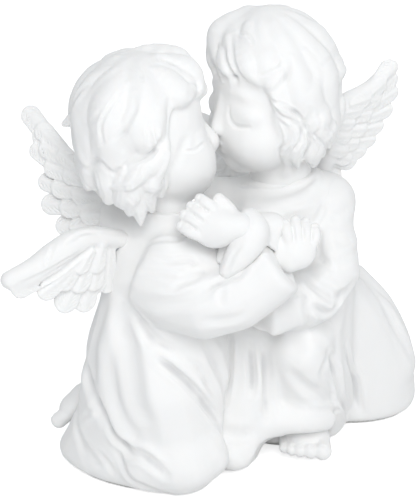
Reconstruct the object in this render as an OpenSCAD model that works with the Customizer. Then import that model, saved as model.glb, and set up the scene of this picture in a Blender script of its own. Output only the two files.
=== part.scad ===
// Cast-resin group of two little angels embracing. One kneels, the other rises on its planted foot.
// Each casting that could not leave a mould in one piece is cast alone, then pinned or tenoned and glued.
// Frame: +Z up, -Y to the side on show, +X from the kneeling angel to the rising one. Millimetres.

/* [Group] */
// Thickness of the felt sheet under the group
felt_t = 1; // [0.5:0.1:2]
// How far the felt stops short of the hem
felt_inset = 2.5; // [1.5:0.5:4]
// Glue line between two castings
glue_gap = 0.2; // [0.1:0.05:0.4]
// Height of the kneeling angel's shoulders
kneel_shoulder_z = 79; // [75:0.5:82]
// Height of the rising angel's shoulders
rise_shoulder_z = 82; // [79:0.5:85]
// Radius of both necks
neck_r = 7; // [6:0.5:8]

/* [Kneeling angel] */
// Length of the hem, along the folded shins
kneel_hem_l = 57; // [53:1:61]
// Width of the hem, across the shins
kneel_hem_w = 40; // [37:1:43]
// Width of the gown at the hips
kneel_hip_w = 44; // [41:1:47]
// Width of the chest
kneel_chest_w = 33; // [30:1:36]
// Radius of the gown over the near knee
kneel_knee_r = 12; // [10.5:0.5:13]
// Radius of the near sleeve at the elbow
kneel_sleeve_r = 11.5; // [10.5:0.5:12.5]
// Radius of the near cuff
kneel_cuff_r = 9; // [8.2:0.1:9.8]
// Radius of the skull
kneel_skull_r = 17.8; // [17:0.2:18.6]

/* [Rising angel] */
// Length of the hem over the folded leg
rise_hem_l = 44; // [41:1:47]
// Depth of the hem over the folded leg
rise_hem_w = 34; // [31:1:37]
// Width of the chest
rise_chest_w = 35; // [32:1:38]
// Radius of the raised knee
rise_knee_r = 10; // [9:0.5:11]
// Radius of the outer sleeve at the elbow
rise_sleeve_r = 9; // [8.2:0.2:9.8]
// Radius of the cuffs
rise_cuff_r = 7.5; // [7:0.1:8]
// Radius of the skull
rise_skull_r = 17.5; // [16.5:0.5:18.5]
// Radius of the rolled collar
rise_collar_r = 11.5; // [10.5:0.5:12.5]
// How far the wide cuff hangs below the wrist
rise_cuff_drop = 7; // [5:0.5:8]

/* [Hair] */
// Thickness of the hair over a skull
hair_t = 3; // [2:0.5:4]
// Radius of a loose lock at its thickest
lock_r = 4.6; // [4:0.1:5.2]
// Depth of the grooves between the locks
groove_h = 1.1; // [0.8:0.1:1.4]
// How far the ends of the hair flare out
flare = 11; // [9:0.5:13]

/* [Hands and feet] */
// Radius of a palm
palm_r = 4.8; // [4.4:0.1:5.2]
// Radius of a finger
finger_r = 1.7; // [1.5:0.1:1.9]
// Radius of a foot at the toes
foot_r = 7.3; // [6.8:0.1:7.6]

/* [Wings] */
// Length of a wing, root to tip
wing_l = 39; // [36:0.5:42]
// Length of the longest flight feather
feather_l = 21; // [19:0.5:22]
// Width of a flight feather
feather_w = 7; // [6.2:0.1:7.6]
// Thickness of one feather
feather_t = 1.5; // [1.2:0.1:1.8]
// Feathers in the long row
flight_feathers = 8; // [7:1:10]
// Radius of the ridge that carries the feathers
ridge_r = 2.8; // [2.5:0.1:3.1]

/* [Pins] */
// Diameter of the steel pin in a wing root
wing_pin_d = 2; // [1.5:0.1:2.5]
// Length of the steel pin in a wing root
wing_pin_l = 10; // [9:0.5:11]
// Diameter of the steel dowel in a neck
neck_dowel_d = 4; // [3:0.5:5]
// Length of the steel dowel in a neck
neck_dowel_l = 16; // [14:1:18]
// Diameter of the tenon on an arm, hand or foot
tenon_d = 5; // [4:0.5:6]
// Length of the tenon on an arm, hand or foot
tenon_l = 5; // [4:0.5:6]
// Clearance around a pin, a dowel or a tenon
pin_fit = 0.1; // [0.05:0.05:0.2]

/* [Hidden] */
// Puts the middle of the group over the origin
group_shift = [-4.2, -11.3, 0];
resin = [0.95, 0.95, 0.94];
steel = [0.72, 0.73, 0.75];
felt = [0.86, 0.85, 0.82];
far = 400;

// ---- helpers ----
function unit(v) = v / norm(v);
function mix(a, b, t) = a * (1 - t) + b * t;

// One level ring of a gown: an ellipse turned by yaw, with soft pleats in it
function gown_ring(at, half, yaw, pleats = 8, depth = 0, turn = 0, sides = 24) = [
    for (i = [0 : sides - 1])
        let (a = 360 * i / sides, f = 1 + depth * cos(pleats * a + turn))
        let (p = [half.x * cos(a), half.y * sin(a)] * f)
        [at.x + p.x * cos(yaw) - p.y * sin(yaw), at.y + p.x * sin(yaw) + p.y * cos(yaw), at.z]
];

// One ring of a sleeve, square to its run, that sags below by drop
function sleeve_ring(at, run, r, drop, sides) =
    let (side = unit(cross(run, [0, 0, 1])), rise = unit(cross(side, run)))
    [for (i = [0 : sides - 1]) let (a = -360 * i / sides)
        at + side * r * cos(a) + rise * (r * sin(a) + drop * min(0, sin(a)))];

// A closed skin through rings that have the same count of points
module skin(rings) {
    n = len(rings[0]);
    last = len(rings) - 1;
    polyhedron(
        points = [for (r = rings) each r],
        faces = concat(
            [[for (i = [0 : n - 1]) i]],
            [for (k = [0 : last - 1], i = [0 : n - 1])
                let (j = (i + 1) % n)
                [k * n + i, (k + 1) * n + i, (k + 1) * n + j, k * n + j]],
            [[for (i = [n - 1 : -1 : 0]) last * n + i]]),
        convexity = 8);
}

// Sections are [centre, half widths, yaw, pleat depth], from the hem up
module gown(sections, grow)
    skin([for (s = sections) gown_ring(s[0], s[1] + [grow, grow], s[2], 8, s[3], s[0].z)]);

// Stations are [centre, radius, drop], from the shoulder to the cuff
module sleeve(stations, grow, sides = 14) {
    last = len(stations) - 1;
    skin([for (i = [0 : last])
        let (a = stations[max(i - 1, 0)][0], b = stations[min(i + 1, last)][0], s = stations[i])
        sleeve_ring(s[0], unit(b - a), s[1] + grow, s[2], sides)]);
}

// A rounded limb through [point, radius] stations
module limb(stations, grow = 0, fn = 16)
    for (i = [0 : len(stations) - 2])
        hull() {
            translate(stations[i][0]) sphere(stations[i][1] + grow, $fn = fn);
            translate(stations[i + 1][0]) sphere(stations[i + 1][1] + grow, $fn = fn);
        }

// A rounded band round the foot of a neck, that rises by tilt degrees towards +X
module collar(at, r, roll, tilt, grow) translate(at) rotate([0, -tilt, 0]) scale([1, 0.86, 1])
    rotate_extrude($fn = 20) translate([r, 0]) circle(roll + grow, $fn = 6);

// Brings children drawn along +X, with +Z up, to a place and a direction
module facing(at, forward, up = [0, 0, 1]) {
    f = unit(forward);
    l = unit(cross(up, f));
    u = cross(f, l);
    multmatrix([[f.x, l.x, u.x, at.x], [f.y, l.y, u.y, at.y], [f.z, l.z, u.z, at.z], [0, 0, 0, 1]]) children();
}

// A round peg that starts at a point and runs along a direction
module peg(at, along, d, l) facing(at, along) rotate([0, 90, 0]) cylinder(d = d, h = l, $fn = 16);

module above_felt() intersection() {
    children();
    translate([-far / 2, -far / 2, felt_t]) cube(far);
}

// ---- kneeling angel: places ----
kneel_hem = [kneel_hem_l, kneel_hem_w] / 2;
kneel_hip = [kneel_hip_w, kneel_hip_w * 0.82] / 2;
kneel_chest = [kneel_chest_w, kneel_chest_w * 0.82] / 2;
kneel_neck = [-13, -6, kneel_shoulder_z + 5];
kneel_head = [-21, -8, kneel_neck.z + kneel_skull_r + 12.5];
kneel_face = unit([0.86, 0.42, -0.1]);
kneel_knee = [-10, -14.5, felt_t + kneel_knee_r - 1];
kneel_ankle = [-35, 5, felt_t + 7.5];
kneel_sections = [
    [[-22.5, -2.5, felt_t], kneel_hem * 0.95, -33, 0],
    [[-22.5, -2.5, felt_t + 3], kneel_hem, -33, 0.01],
    [[-20.5, -4, 11], kneel_hem * 0.94, -31, 0.02],
    [[-18.5, -4.5, 20], mix(kneel_hem, kneel_hip, 0.7), -24, 0.03],
    [[-16, -5, 32], kneel_hip, -12, 0.03],
    [[-15.5, -5.5, 44], mix(kneel_hip, kneel_chest, 0.15), -5, 0.02],
    [[-15, -5.5, 56], mix(kneel_hip, kneel_chest, 0.7), 4, 0.01],
    [[-14.5, -6, kneel_shoulder_z - 12], kneel_chest, 10, 0],
    [[-14, -6, kneel_shoulder_z - 5], kneel_chest * 0.93, 15, 0],
    [[-13.5, -6, kneel_shoulder_z], kneel_chest * 0.72, 18, 0],
    [[-13, -6, kneel_shoulder_z + 3], [1.25, 1.15] * neck_r, 18, 0],
    [kneel_neck, [1, 1] * neck_r, 18, 0],
];
kneel_thigh = [[[-20, -8, 44], 14], [[-15, -13, 27], 14.5], [kneel_knee, kneel_knee_r]];
kneel_shin = [[kneel_knee, kneel_knee_r - 1], [kneel_ankle, 8.5]];

module kneeling_form(grow = 0) above_felt() {
    gown(kneel_sections, grow);
    limb(kneel_thigh, grow, 12);
    limb(kneel_shin, grow, 12);
    collar(kneel_neck - [0, 0, 2], neck_r + 1.6, 1.6, 0, grow);
    translate([kneel_knee.x, kneel_knee.y, 0])
        cylinder(r = kneel_knee_r - 1 + grow, h = kneel_knee.z, $fn = 20);
}

// ---- rising angel: places ----
rise_hem = [rise_hem_l, rise_hem_w] / 2;
rise_chest = [rise_chest_w, rise_chest_w * 0.78] / 2;
rise_neck = [22.5, 13.5, rise_shoulder_z + 4];
rise_head = [19, 12, rise_neck.z + rise_skull_r + 17];
rise_face = unit([-0.88, -0.5, -0.2]);
rise_throat = rise_neck + [-0.5, -0.3, 6];
rise_collar = rise_neck + [-1.7, -1, 3];
rise_knee = [28, 1, 38];
rise_sections = [
    [[26, 24, felt_t], [19, 16], 10, 0.02],
    [[26, 20, 12], [20, 18], 10, 0.05],
    [[26.5, 18, 26], [19, 19], 5, 0.06],
    [[27, 18, 40], [18.5, 18], 0, 0.05],
    [[28, 18.5, 52], mix([18.5, 18], rise_chest, 0.5), 0, 0.02],
    [[26.5, 17.5, rise_shoulder_z - 18], rise_chest * 0.98, 0, 0],
    [[24, 16, rise_shoulder_z - 8], rise_chest * 1.02, 0, 0],
    [[22.5, 14.5, rise_shoulder_z - 2], rise_chest * 0.96, 5, 0],
    [[21.3, 13, rise_shoulder_z + 2.5], [1.25, 1.15] * rise_collar_r, 5, 0],
    [rise_collar - [0, 0, 0.5], [1, 0.86] * rise_collar_r, 0, 0],
    [rise_collar + [0.6, 0.5, 0.3], [1.1, 1.05] * neck_r, 0, 0],
    [rise_throat - [0, 0, 1], [1, 1] * neck_r * 0.95, 0, 0],
    [rise_throat, [1, 1] * neck_r * 0.95, 0, 0],
];
// The gown over the folded leg
fold_sections = [
    [[47.5, 41, felt_t], rise_hem * 0.94, 5, 0],
    [[47.5, 41, felt_t + 4], rise_hem, 5, 0],
    [[46.5, 39.5, 14], rise_hem * 0.99, 5, 0.01],
    [[44.5, 36, 27], rise_hem * 0.92, 5, 0.01],
    [[40, 30, 41], rise_hem * 0.8, 5, 0.01],
    [[31, 19, 60], rise_hem * 0.5, 0, 0],
];
rise_leg = [[[32, 14, 40], 11], [rise_knee, rise_knee_r], [[30, 9, felt_t + 16], rise_knee_r]];
// The skirt that hangs between the two angels
drape = [[[12, 5, 44], 7.5], [[9.6, -0.6, felt_t + 7], 9.2]];

module rising_form(grow = 0) above_felt() {
    gown(rise_sections, grow);
    gown(fold_sections, grow);
    limb(rise_leg, grow, 12);
    limb(drape, grow, 12);
    collar(rise_collar, rise_collar_r, 2.1, 12, grow);
}

// ---- heads: drawn with the middle of the skull at the origin and the face along +X ----
// How far the hair stands from the middle of the skull, at a fall in degrees from the crown
function hair_reach(r, fall) = r + hair_t + flare * pow(max(0, fall - 105) / 50, 1.3);
function hair_point(reach, turn, fall, tall) =
    reach * [sin(fall) * cos(turn), sin(fall) * sin(turn), cos(fall) * (fall < 90 ? tall : 1)];
function wrapped(turn) = abs((turn + 540) % 360 - 180);

// A shell of hair that starts at a fall and ends at its hems, given as [turn from the face, fall]. Its
// locks twist by sweep, and each is three faces wide with a groove beside it. brow is how far the hair
// rolls forward over the face, and curl how far the locks wave in and out.
module hair_shell(r, tall, top, hems, locks, sweep, groove, brow, curl, grow, rows) {
    count = locks * 3;
    function ring(t) = [for (i = [count - 1 : -1 : 0])
        let (cut = i % 3 == 0 ? 1 : 0,
            hem = lookup(wrapped(360 * i / count + sweep), hems) + (cut ? -4 : 2),
            turn = 360 * i / count + sweep * t,
            fall = top + (hem - top) * t,
            roll = brow * t * t * max(0, cos(turn)) + curl * sin(540 * t + 50 * floor(i / 3)) * t,
            tuck = t > 0.95 ? hair_t * 0.4 : 0)
        let (reach = hair_reach(r, fall) + grow + roll - cut * groove * (0.6 + 0.8 * t) - tuck)
        hair_point(reach, turn, fall, tall)];
    cone([for (k = [0 : rows]) ring(k / rows)],
        [0, 0, top > 20 ? r * 0.5 : (r + hair_t + grow) * tall], [0, 0, -r * 0.4]);
}

// A closed skin through rings, brought to one point at each end
module cone(rings, first, last) {
    n = len(rings[0]);
    m = len(rings);
    polyhedron(
        points = concat([for (r = rings) each r], [first, last]),
        faces = concat(
            [for (i = [0 : n - 1]) [i, (i + 1) % n, n * m]],
            [for (k = [0 : m - 2], i = [0 : n - 1]) let (j = (i + 1) % n) each
                [[k * n + i, (k + 1) * n + i, (k + 1) * n + j], [k * n + i, (k + 1) * n + j, k * n + j]]],
            [for (i = [0 : n - 1]) [(m - 1) * n + (i + 1) % n, (m - 1) * n + i, n * m + 1]]),
        convexity = 8);
}

// A face, from the chin up: level sections as [forward, up, half depth, half width] in shares of the
// skull's radius, and how full the cheeks are
module face_form(r, sections, grow) skin([for (s = sections)
    gown_ring([s[0], 0, s[1]] * r, [s[2], s[3]] * r + [grow, grow], 0, 4, s[4], 180, 20)]);

// Loose locks, each through places in shares of the skull's radius and of a lock's radius
module loose_locks(r, paths, grow) for (path = paths)
    limb([for (p = path) [[p[0], p[1], p[2]] * r, p[3] * lock_r]], grow, 7);

// The bridge and the tip of a nose, in shares of the skull's radius
module nose(r, bridge, tip, grow) hull() {
    translate(bridge * r) sphere(r * 0.095 + grow, $fn = 8);
    translate(tip * r) sphere(r * 0.105 + grow, $fn = 8);
}

kneel_face_sections = [
    [0.787, -1.376, 0.225, 0.225, 0], [0.764, -1.27, 0.472, 0.421, 0], [0.646, -1.039, 0.742, 0.685, 0.03],
    [0.506, -0.73, 0.888, 0.854, 0.06], [0.393, -0.393, 0.91, 0.899, 0.05], [0.281, -0.112, 0.798, 0.899, 0.02],
    [0.281, 0.281, 0.764, 0.843, 0], [0.225, 0.674, 0.674, 0.702, 0]];
// The bob: the lower edge of the smooth cap, then of the waves that show under it
kneel_cap_hems = [[0, 58], [60, 60], [90, 62], [97, 80], [106, 98], [122, 112], [134, 121], [150, 113],
    [166, 126], [180, 118]];
kneel_wave_hems = [[0, 52], [80, 54], [90, 96], [94, 154], [106, 161], [135, 153], [160, 146], [180, 142]];
kneel_locks = [
    [[0, 0.281, 1.045, 0.65], [0.371, 0.112, 1.09, 0.78], [0.697, -0.112, 0.933, 0.74]],
    [[0.169, -0.225, 1.067, 0.65], [0.646, -0.365, 0.888, 0.78], [0.876, -0.427, 0.618, 0.61]]];
rise_face_sections = [
    [0.457, -1.371, 0.257, 0.257, 0], [0.434, -1.257, 0.526, 0.514, 0], [0.343, -1, 0.766, 0.754, 0.03],
    [0.286, -0.686, 0.869, 0.914, 0.05], [0.257, -0.343, 0.857, 0.914, 0.03], [0.229, 0, 0.823, 0.88, 0],
    [0.229, 0.457, 0.789, 0.8, 0]];
rise_hems = [[0, 66], [34, 66], [50, 76], [58, 92], [64, 118], [74, 146], [90, 156], [110, 152],
    [126, 142], [180, 138]];
// The forelock, a lock on the back of the head, and the one that hangs before the ear
rise_locks = [
    [[0.057, -0.343, 1.143, 0.96], [0.514, -0.48, 0.943, 1.09], [0.709, -0.457, 0.6, 0.78]],
    [[-0.629, 0.457, 0.8, 0.83], [-0.949, 0.549, 0.137, 0.83], [-0.88, 0.571, -0.171, 0.52]],
    [[0.486, 0.88, -0.171, 0.52], [0.389, 0.891, -0.686, 0.65], [0.314, 0.543, -1.4, 0.39]]];

module kneeling_head_form(grow = 0) {
    r = kneel_skull_r;
    facing(kneel_head, kneel_face) {
        hair_shell(r, 1, 9, kneel_cap_hems, 10, 24, groove_h * 0.8, r * 0.13, r * 0.015, grow, 8);
        hair_shell(r, 1, 50, kneel_wave_hems, 12, -14, groove_h * 1.5, 0, r * 0.04, grow - hair_t * 0.6, 6);
        face_form(r, kneel_face_sections, grow);
        nose(r, [1.01, 0, 0], [1.27, 0, -0.3], grow);
        loose_locks(r, kneel_locks, grow);
    }
    translate(kneel_neck + [0, 0, glue_gap - grow])
        cylinder(r = neck_r + grow, h = kneel_skull_r * 0.8, $fn = 20);
}

module rising_head_form(grow = 0) {
    r = rise_skull_r;
    facing(rise_head, rise_face) {
        translate([-0.06, 0, 0.02] * r)
            hair_shell(r, 1.17, 9, rise_hems, 12, 24, groove_h * 1.1, r * 0.09, r * 0.035, grow, 9);
        face_form(r, rise_face_sections, grow);
        nose(r, [1.03, 0, -0.06], [1.18, 0, -0.4], grow);
        loose_locks(r, rise_locks, grow);
    }
    translate(rise_throat + [0, 0, glue_gap - grow])
        cylinder(r = neck_r * 0.95 + grow, h = rise_skull_r * 0.7, $fn = 20);
}

// ---- arms ----
kneel_shoulder_near = [-17, -13, kneel_shoulder_z - 10];
kneel_wrist_near = [21, -22.5, kneel_shoulder_z - 4];
kneel_sleeve_near = [
    [kneel_shoulder_near + [-3, 1, 1], kneel_sleeve_r * 0.7, 0],
    [kneel_shoulder_near, kneel_sleeve_r + 0.5, 1],
    [mix(kneel_shoulder_near, kneel_wrist_near, 0.2) + [0, -4, -5], kneel_sleeve_r + 0.5, 1],
    [mix(kneel_shoulder_near, kneel_wrist_near, 0.42) + [0, -5.5, -8.5], kneel_sleeve_r, 0.5],
    [mix(kneel_shoulder_near, kneel_wrist_near, 0.65) + [0, -4, -7.5], kneel_sleeve_r - 1, 0.5],
    [mix(kneel_shoulder_near, kneel_wrist_near, 0.86) + [0, -1, -3.5],
        mix(kneel_sleeve_r, kneel_cuff_r, 0.7), 0.5],
    [kneel_wrist_near, kneel_cuff_r, 1],
];
kneel_shoulder_far = [-9, 3, kneel_shoulder_z - 9];
kneel_wrist_far = [18, 35.5, kneel_shoulder_z - 13];
kneel_sleeve_far = [
    [kneel_shoulder_far, kneel_cuff_r, 0],
    [mix(kneel_shoulder_far, kneel_wrist_far, 0.33) + [-3, 3, -3], kneel_cuff_r + 0.5, 0.5],
    [mix(kneel_shoulder_far, kneel_wrist_far, 0.66) + [-3.5, 3.5, -3], kneel_cuff_r, 0.5],
    [kneel_wrist_far, kneel_cuff_r * 0.85, 0.5],
];
rise_shoulder_left = [35, 14.5, rise_shoulder_z - 3.5];
rise_elbow_left = [38, 6, rise_shoulder_z - 20];
rise_wrist_left = [14.5, -11.5, rise_shoulder_z - 27];
rise_sleeve_left = [
    [rise_shoulder_left + [-6, 0, 1.5], rise_sleeve_r * 0.7, 0],
    [rise_shoulder_left, rise_sleeve_r, 0],
    [mix(rise_shoulder_left, rise_elbow_left, 0.55) + [0.5, -1, 0], rise_sleeve_r, 0],
    [rise_elbow_left + [0, -1, 1], rise_sleeve_r, 0],
    [rise_elbow_left + [-5, -6, -4.5], rise_sleeve_r, 1],
    [rise_wrist_left, rise_sleeve_r, 2],
];
rise_shoulder_right = [12.5, 7, rise_shoulder_z - 5];
rise_elbow_right = [19, -12, rise_shoulder_z - 10];
rise_wrist_right = [9, -22, rise_shoulder_z + 2];
rise_sleeve_right = [
    [rise_shoulder_right, rise_cuff_r + 0.8, 0],
    [mix(rise_shoulder_right, rise_elbow_right, 0.5) + [1, 0, 0], rise_cuff_r + 0.4, 0],
    [rise_elbow_right, rise_cuff_r, 0],
    [mix(rise_elbow_right, rise_wrist_right, 0.5) + [0, -1, 0], rise_cuff_r, rise_cuff_drop * 0.3],
    [rise_wrist_right, rise_cuff_r * 0.96, rise_cuff_drop],
];

// Creases that lie in the bend of a sleeve, on the inner side
module creases(stations, from, grow) for (i = [from : from + 1]) {
    a = stations[i];
    b = stations[i + 1];
    limb([[a[0] + [0, -0.6, 0.6] * a[1], a[1] * 0.25], [b[0] + [0, -0.72, 0.5] * b[1], b[1] * 0.2]], grow, 8);
}
module kneeling_arm_near_form(grow = 0) sleeve(kneel_sleeve_near, grow);
module kneeling_arm_far_form(grow = 0) {
    sleeve(kneel_sleeve_far, grow);
    creases(kneel_sleeve_far, 1, grow);
}
module rising_arm_left_form(grow = 0) {
    sleeve(rise_sleeve_left, grow);
    creases(rise_sleeve_left, 2, grow);
}
module rising_arm_right_form(grow = 0) {
    sleeve(rise_sleeve_right, grow);
    creases(rise_sleeve_right, 2, grow);
}

// ---- hands: four fingers side by side and a thumb, drawn along +X with the palm down ----
finger_step = finger_r * 1.85;
module palm(grow) hull() {
    for (y = [-1, 1]) translate([0, y * finger_step, 0]) sphere(palm_r * 0.6 + grow, $fn = 8);
    translate([-palm_r * 1.6, 0, 0]) sphere(palm_r * 0.7 + grow, $fn = 8);
}
module hand(place, grow = 0) facing(place[0], place[1], place[2]) {
    reach = [1.45, 1.7, 1.6, 1.3] * palm_r;
    thumb = place[4];
    palm(grow);
    for (i = [0 : 3])
        rotate([0, 0, (1.5 - i) * place[3]]) translate([0, (1.5 - i) * finger_step, 0])
            limb([[[palm_r * 0.3, 0, 0.4], finger_r], [[reach[i], 0, -0.6], finger_r * 0.8]], grow, 6);
    limb([[[-palm_r * 0.9, thumb * palm_r * 0.6, 0], finger_r * 1.3],
        [[palm_r * 0.1, thumb * palm_r * 1.3, -1], finger_r * 0.9]], grow, 6);
}
module palm_pocket(place) facing(place[0], place[1], place[2]) palm(glue_gap);

// Each hand is [middle of the palm, where the fingers point, where the back of it looks, spread, thumb side]
hand_kneel_near = [kneel_wrist_near + [5.5, 3.5, 4], [0.1, 0.25, 0.95], [0.25, -1, 0.2], 6, 1];
hand_kneel_far = [kneel_wrist_far + [7.5, 1, 1], [1, -0.1, 0.05], [0, 1, 0.2], 4, 1];
hand_rise_right = [rise_wrist_right + [-9.5, -2.5, 3.5], [-0.85, 0.1, -0.1], [-0.15, -1, 0.3], 3, -1];

// ---- feet: five toes in a row, drawn along +X with the sole down ----
module sole(grow, toes = 0) hull() {
    translate([-foot_r * 0.7, 0, 0]) sphere(foot_r * 0.8 + grow, $fn = 8);
    for (y = [-0.55, 0.55]) translate([0, foot_r * y, -foot_r * 0.2]) sphere(foot_r * 0.55 + grow, $fn = 8);
    for (y = [-0.8, 0.72])
        translate([foot_r * toes * 0.8, foot_r * y, -foot_r * 0.4]) sphere(foot_r * 0.36 * toes + grow, $fn = 8);
    translate([-foot_r * 2.2, 0, foot_r * 0.1]) sphere(foot_r * 0.75 + grow, $fn = 8);
}
module foot(place) facing(place[0], place[1]) {
    sole(0, 0);
    for (i = [0 : 4]) {
        r = foot_r * (i == 0 ? 0.36 : 0.27 - 0.015 * i);
        y = foot_r * (0.72 - 0.38 * i - (i > 0 ? 0.04 : 0));
        limb([[[0, y, -foot_r * 0.3], r], [[foot_r * (0.8 - 0.13 * i), y, -foot_r * 0.42], r]], 0, 6);
    }
}
module foot_pocket(place) facing(place[0], place[1]) sole(glue_gap, 1);

// Each foot is [middle of the ball, where the toes point]
foot_rise = [[31, 4, felt_t + foot_r * 0.78], [0.05, -1, 0]];
foot_kneel = [[-45, 13.5, felt_t + foot_r + 3], [-0.75, 0.2, -0.6]];

// ---- wings: drawn in a plane, root at the origin, tip along +X, leading edge to +Y ----
module feather(l, w, tilt) rotate([tilt, 0, 0]) hull() {
    cylinder(d = w * 0.6, h = feather_t, center = true, $fn = 4);
    translate([l - w / 2, 0, 0]) cylinder(d = w, h = feather_t, center = true, $fn = 7);
}
// A fan of feathers from the root to the tip of the ridge, raised on its show side. shape is
// [share of the wing length, bow of the ridge, share of the longest feather at the root and at the tip]
module feather_row(count, longest, width, raise, side, sweep, shape) for (i = [0 : count - 1]) {
    t = i / (count - 1);
    translate([wing_l * shape[0] * mix(0.08, 0.62, t), wing_l * shape[1] * sin(150 * t), side * raise])
        rotate([0, 0, mix(sweep, -5, t)])
            feather(longest * mix(shape[2], shape[3], t), width, side * 8);
}
// bare is the length of ridge between the back and the first feather, sweep the lie of that feather
module wing(side, bare, sweep, shape) {
    l = wing_l * shape[0];
    bow = wing_l * shape[1];
    limb([[[-bare - 1, -1, 0], ridge_r * 0.9], [[l * 0.2, bow * 0.9, 0], ridge_r * 1.15],
        [[l * 0.55, bow, 0], ridge_r], [[l * 0.88, bow * 0.1, 0], ridge_r * 0.7]], 0, 7);
    feather_row(flight_feathers, feather_l, feather_w, 0, side, sweep, shape);
    feather_row(flight_feathers - 3, feather_l * 0.66, feather_w, feather_t * 0.8, side, sweep, shape);
    feather_row(flight_feathers - 4, feather_l * 0.42, feather_w, feather_t * 1.6, side, sweep, shape);
}
// Each wing is [where the feathers start, way to the tip, way to the leading edge, show side, bare ridge,
// sweep, shape]
wing_kneel_near = [[-29, -12, kneel_shoulder_z - 2], [-0.8, -0.58, -0.06], [-0.05, -0.1, 1],
    -1, 2, -100, [1.03, 0.09, 1.12, 0.72]];
wing_kneel_far = [[-29, 1, kneel_shoulder_z + 0.5], [-0.66, 0.3, 0.78], [0.72, 0.1, 0.6],
    -1, 3, -88, [1.15, 0.1, 0.82, 0.84]];
wing_rise_left = [[37, 26, rise_shoulder_z + 5], [0.52, 0.12, 0.86], [-0.6, -0.45, 0.5],
    1, 14, -62, [1.06, 0.16, 0.66, 0.78]];
wing_rise_right = [[10, 31, rise_shoulder_z], [-0.72, 0.45, 0.4], [0.1, 0.1, 1],
    -1, 12, -72, [1, 0.1, 0.9, 0.72]];
module at_wing(place) {
    s = unit(place[1]);
    n = unit(cross(s, place[2]));
    l = cross(n, s);
    p = place[0];
    multmatrix([[s.x, l.x, n.x, p.x], [s.y, l.y, n.y, p.y], [s.z, l.z, n.z, p.z], [0, 0, 0, 1]])
        children();
}
module wing_at(place) at_wing(place) wing(place[3], place[4], place[5], place[6]);
module wing_pin(place, fit = 0) at_wing(place)
    translate([-place[4], -1, 0]) rotate([0, 90, 0])
        cylinder(d = wing_pin_d + 2 * fit, h = wing_pin_l + 2 * fit, center = true, $fn = 16);

// ---- dowels and tenons ----
module neck_dowel(at, fit = 0)
    translate(at) cylinder(d = neck_dowel_d + 2 * fit, h = neck_dowel_l + 2 * fit, center = true, $fn = 20);
// Each tenon is [where it crosses the seam, direction into the casting that holds it]
tenon_kneel_near = [[-15, -19, kneel_shoulder_z - 11], [0.1, 1, 0]];
tenon_kneel_far = [[-10, 6.5, kneel_shoulder_z - 9], [-0.1, -1, 0]];
tenon_kneel_foot = [foot_kneel[0] + [6, -2, 4], [1, -0.4, 0.3]];
tenon_rise_left = [[42, 11, rise_shoulder_z - 12], [-1, 0.15, 0]];
tenon_rise_right = [[14, 5, rise_shoulder_z - 7], [0.6, 0.8, 0]];
tenon_rise_foot = [foot_rise[0] + [0, 14, 1], [0, 1, 0.1]];
tenon_hand_near = [hand_kneel_near[0] - [2, 3, 6], [-0.9, -0.1, -0.4]];
tenon_hand_far = [hand_kneel_far[0] - [8, 1, 1], [-0.75, -0.65, 0]];
tenon_hand_right = [hand_rise_right[0] + [8, 2, -2], [0.85, 0.4, -0.3]];
module tenon(j) peg(j[0] - unit(j[1]) * 3, j[1], tenon_d, tenon_l + 3);
module socket(j) peg(j[0] - unit(j[1]) * 3, j[1], tenon_d + 2 * pin_fit, tenon_l + 3 + pin_fit);

// ---- castings ----
module kneeling_body() difference() {
    kneeling_form();
    for (j = [tenon_kneel_near, tenon_kneel_far, tenon_kneel_foot]) socket(j);
    for (w = [wing_kneel_near, wing_kneel_far]) wing_pin(w, pin_fit);
    neck_dowel(kneel_neck, pin_fit);
    foot_pocket(foot_kneel);
}
module kneeling_head() difference() {
    kneeling_head_form();
    kneeling_form(glue_gap);
    neck_dowel(kneel_neck, pin_fit);
}
module kneeling_wing(place) difference() {
    wing_at(place);
    kneeling_form(glue_gap);
    kneeling_head_form(glue_gap);
    wing_pin(place, pin_fit);
}
module kneeling_arm_near() difference() {
    union() {
        difference() {
            kneeling_arm_near_form();
            kneeling_form(glue_gap);
            rising_form(glue_gap);
            kneeling_head_form(glue_gap);
        }
        tenon(tenon_kneel_near);
    }
    socket(tenon_hand_near);
    palm_pocket(hand_kneel_near);
}
module kneeling_hand_near() {
    difference() {
        hand(hand_kneel_near);
        rising_form(glue_gap);
        rising_arm_left_form(glue_gap);
        rising_arm_right_form(glue_gap);
    }
    tenon(tenon_hand_near);
}
module kneeling_arm_far() difference() {
    union() {
        difference() {
            kneeling_arm_far_form();
            kneeling_form(glue_gap);
            rising_form(glue_gap);
        }
        tenon(tenon_kneel_far);
    }
    socket(tenon_hand_far);
    palm_pocket(hand_kneel_far);
}
module kneeling_hand_far() {
    difference() {
        hand(hand_kneel_far);
        rising_form(glue_gap);
    }
    tenon(tenon_hand_far);
}
module kneeling_foot() {
    foot(foot_kneel);
    tenon(tenon_kneel_foot);
}
module rising_body() difference() {
    rising_form();
    kneeling_form(glue_gap);
    for (j = [tenon_rise_left, tenon_rise_right, tenon_rise_foot]) socket(j);
    for (w = [wing_rise_left, wing_rise_right]) wing_pin(w, pin_fit);
    neck_dowel(rise_throat, pin_fit);
    foot_pocket(foot_rise);
}
module rising_head() difference() {
    rising_head_form();
    rising_form(glue_gap);
    kneeling_head_form(glue_gap);
    neck_dowel(rise_throat, pin_fit);
}
module rising_wing(place) difference() {
    wing_at(place);
    rising_form(glue_gap);
    rising_head_form(glue_gap);
    wing_pin(place, pin_fit);
}
module rising_arm_left() {
    difference() {
        rising_arm_left_form();
        rising_form(glue_gap);
        kneeling_form(glue_gap);
        kneeling_arm_near_form(glue_gap);
    }
    tenon(tenon_rise_left);
}
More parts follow.
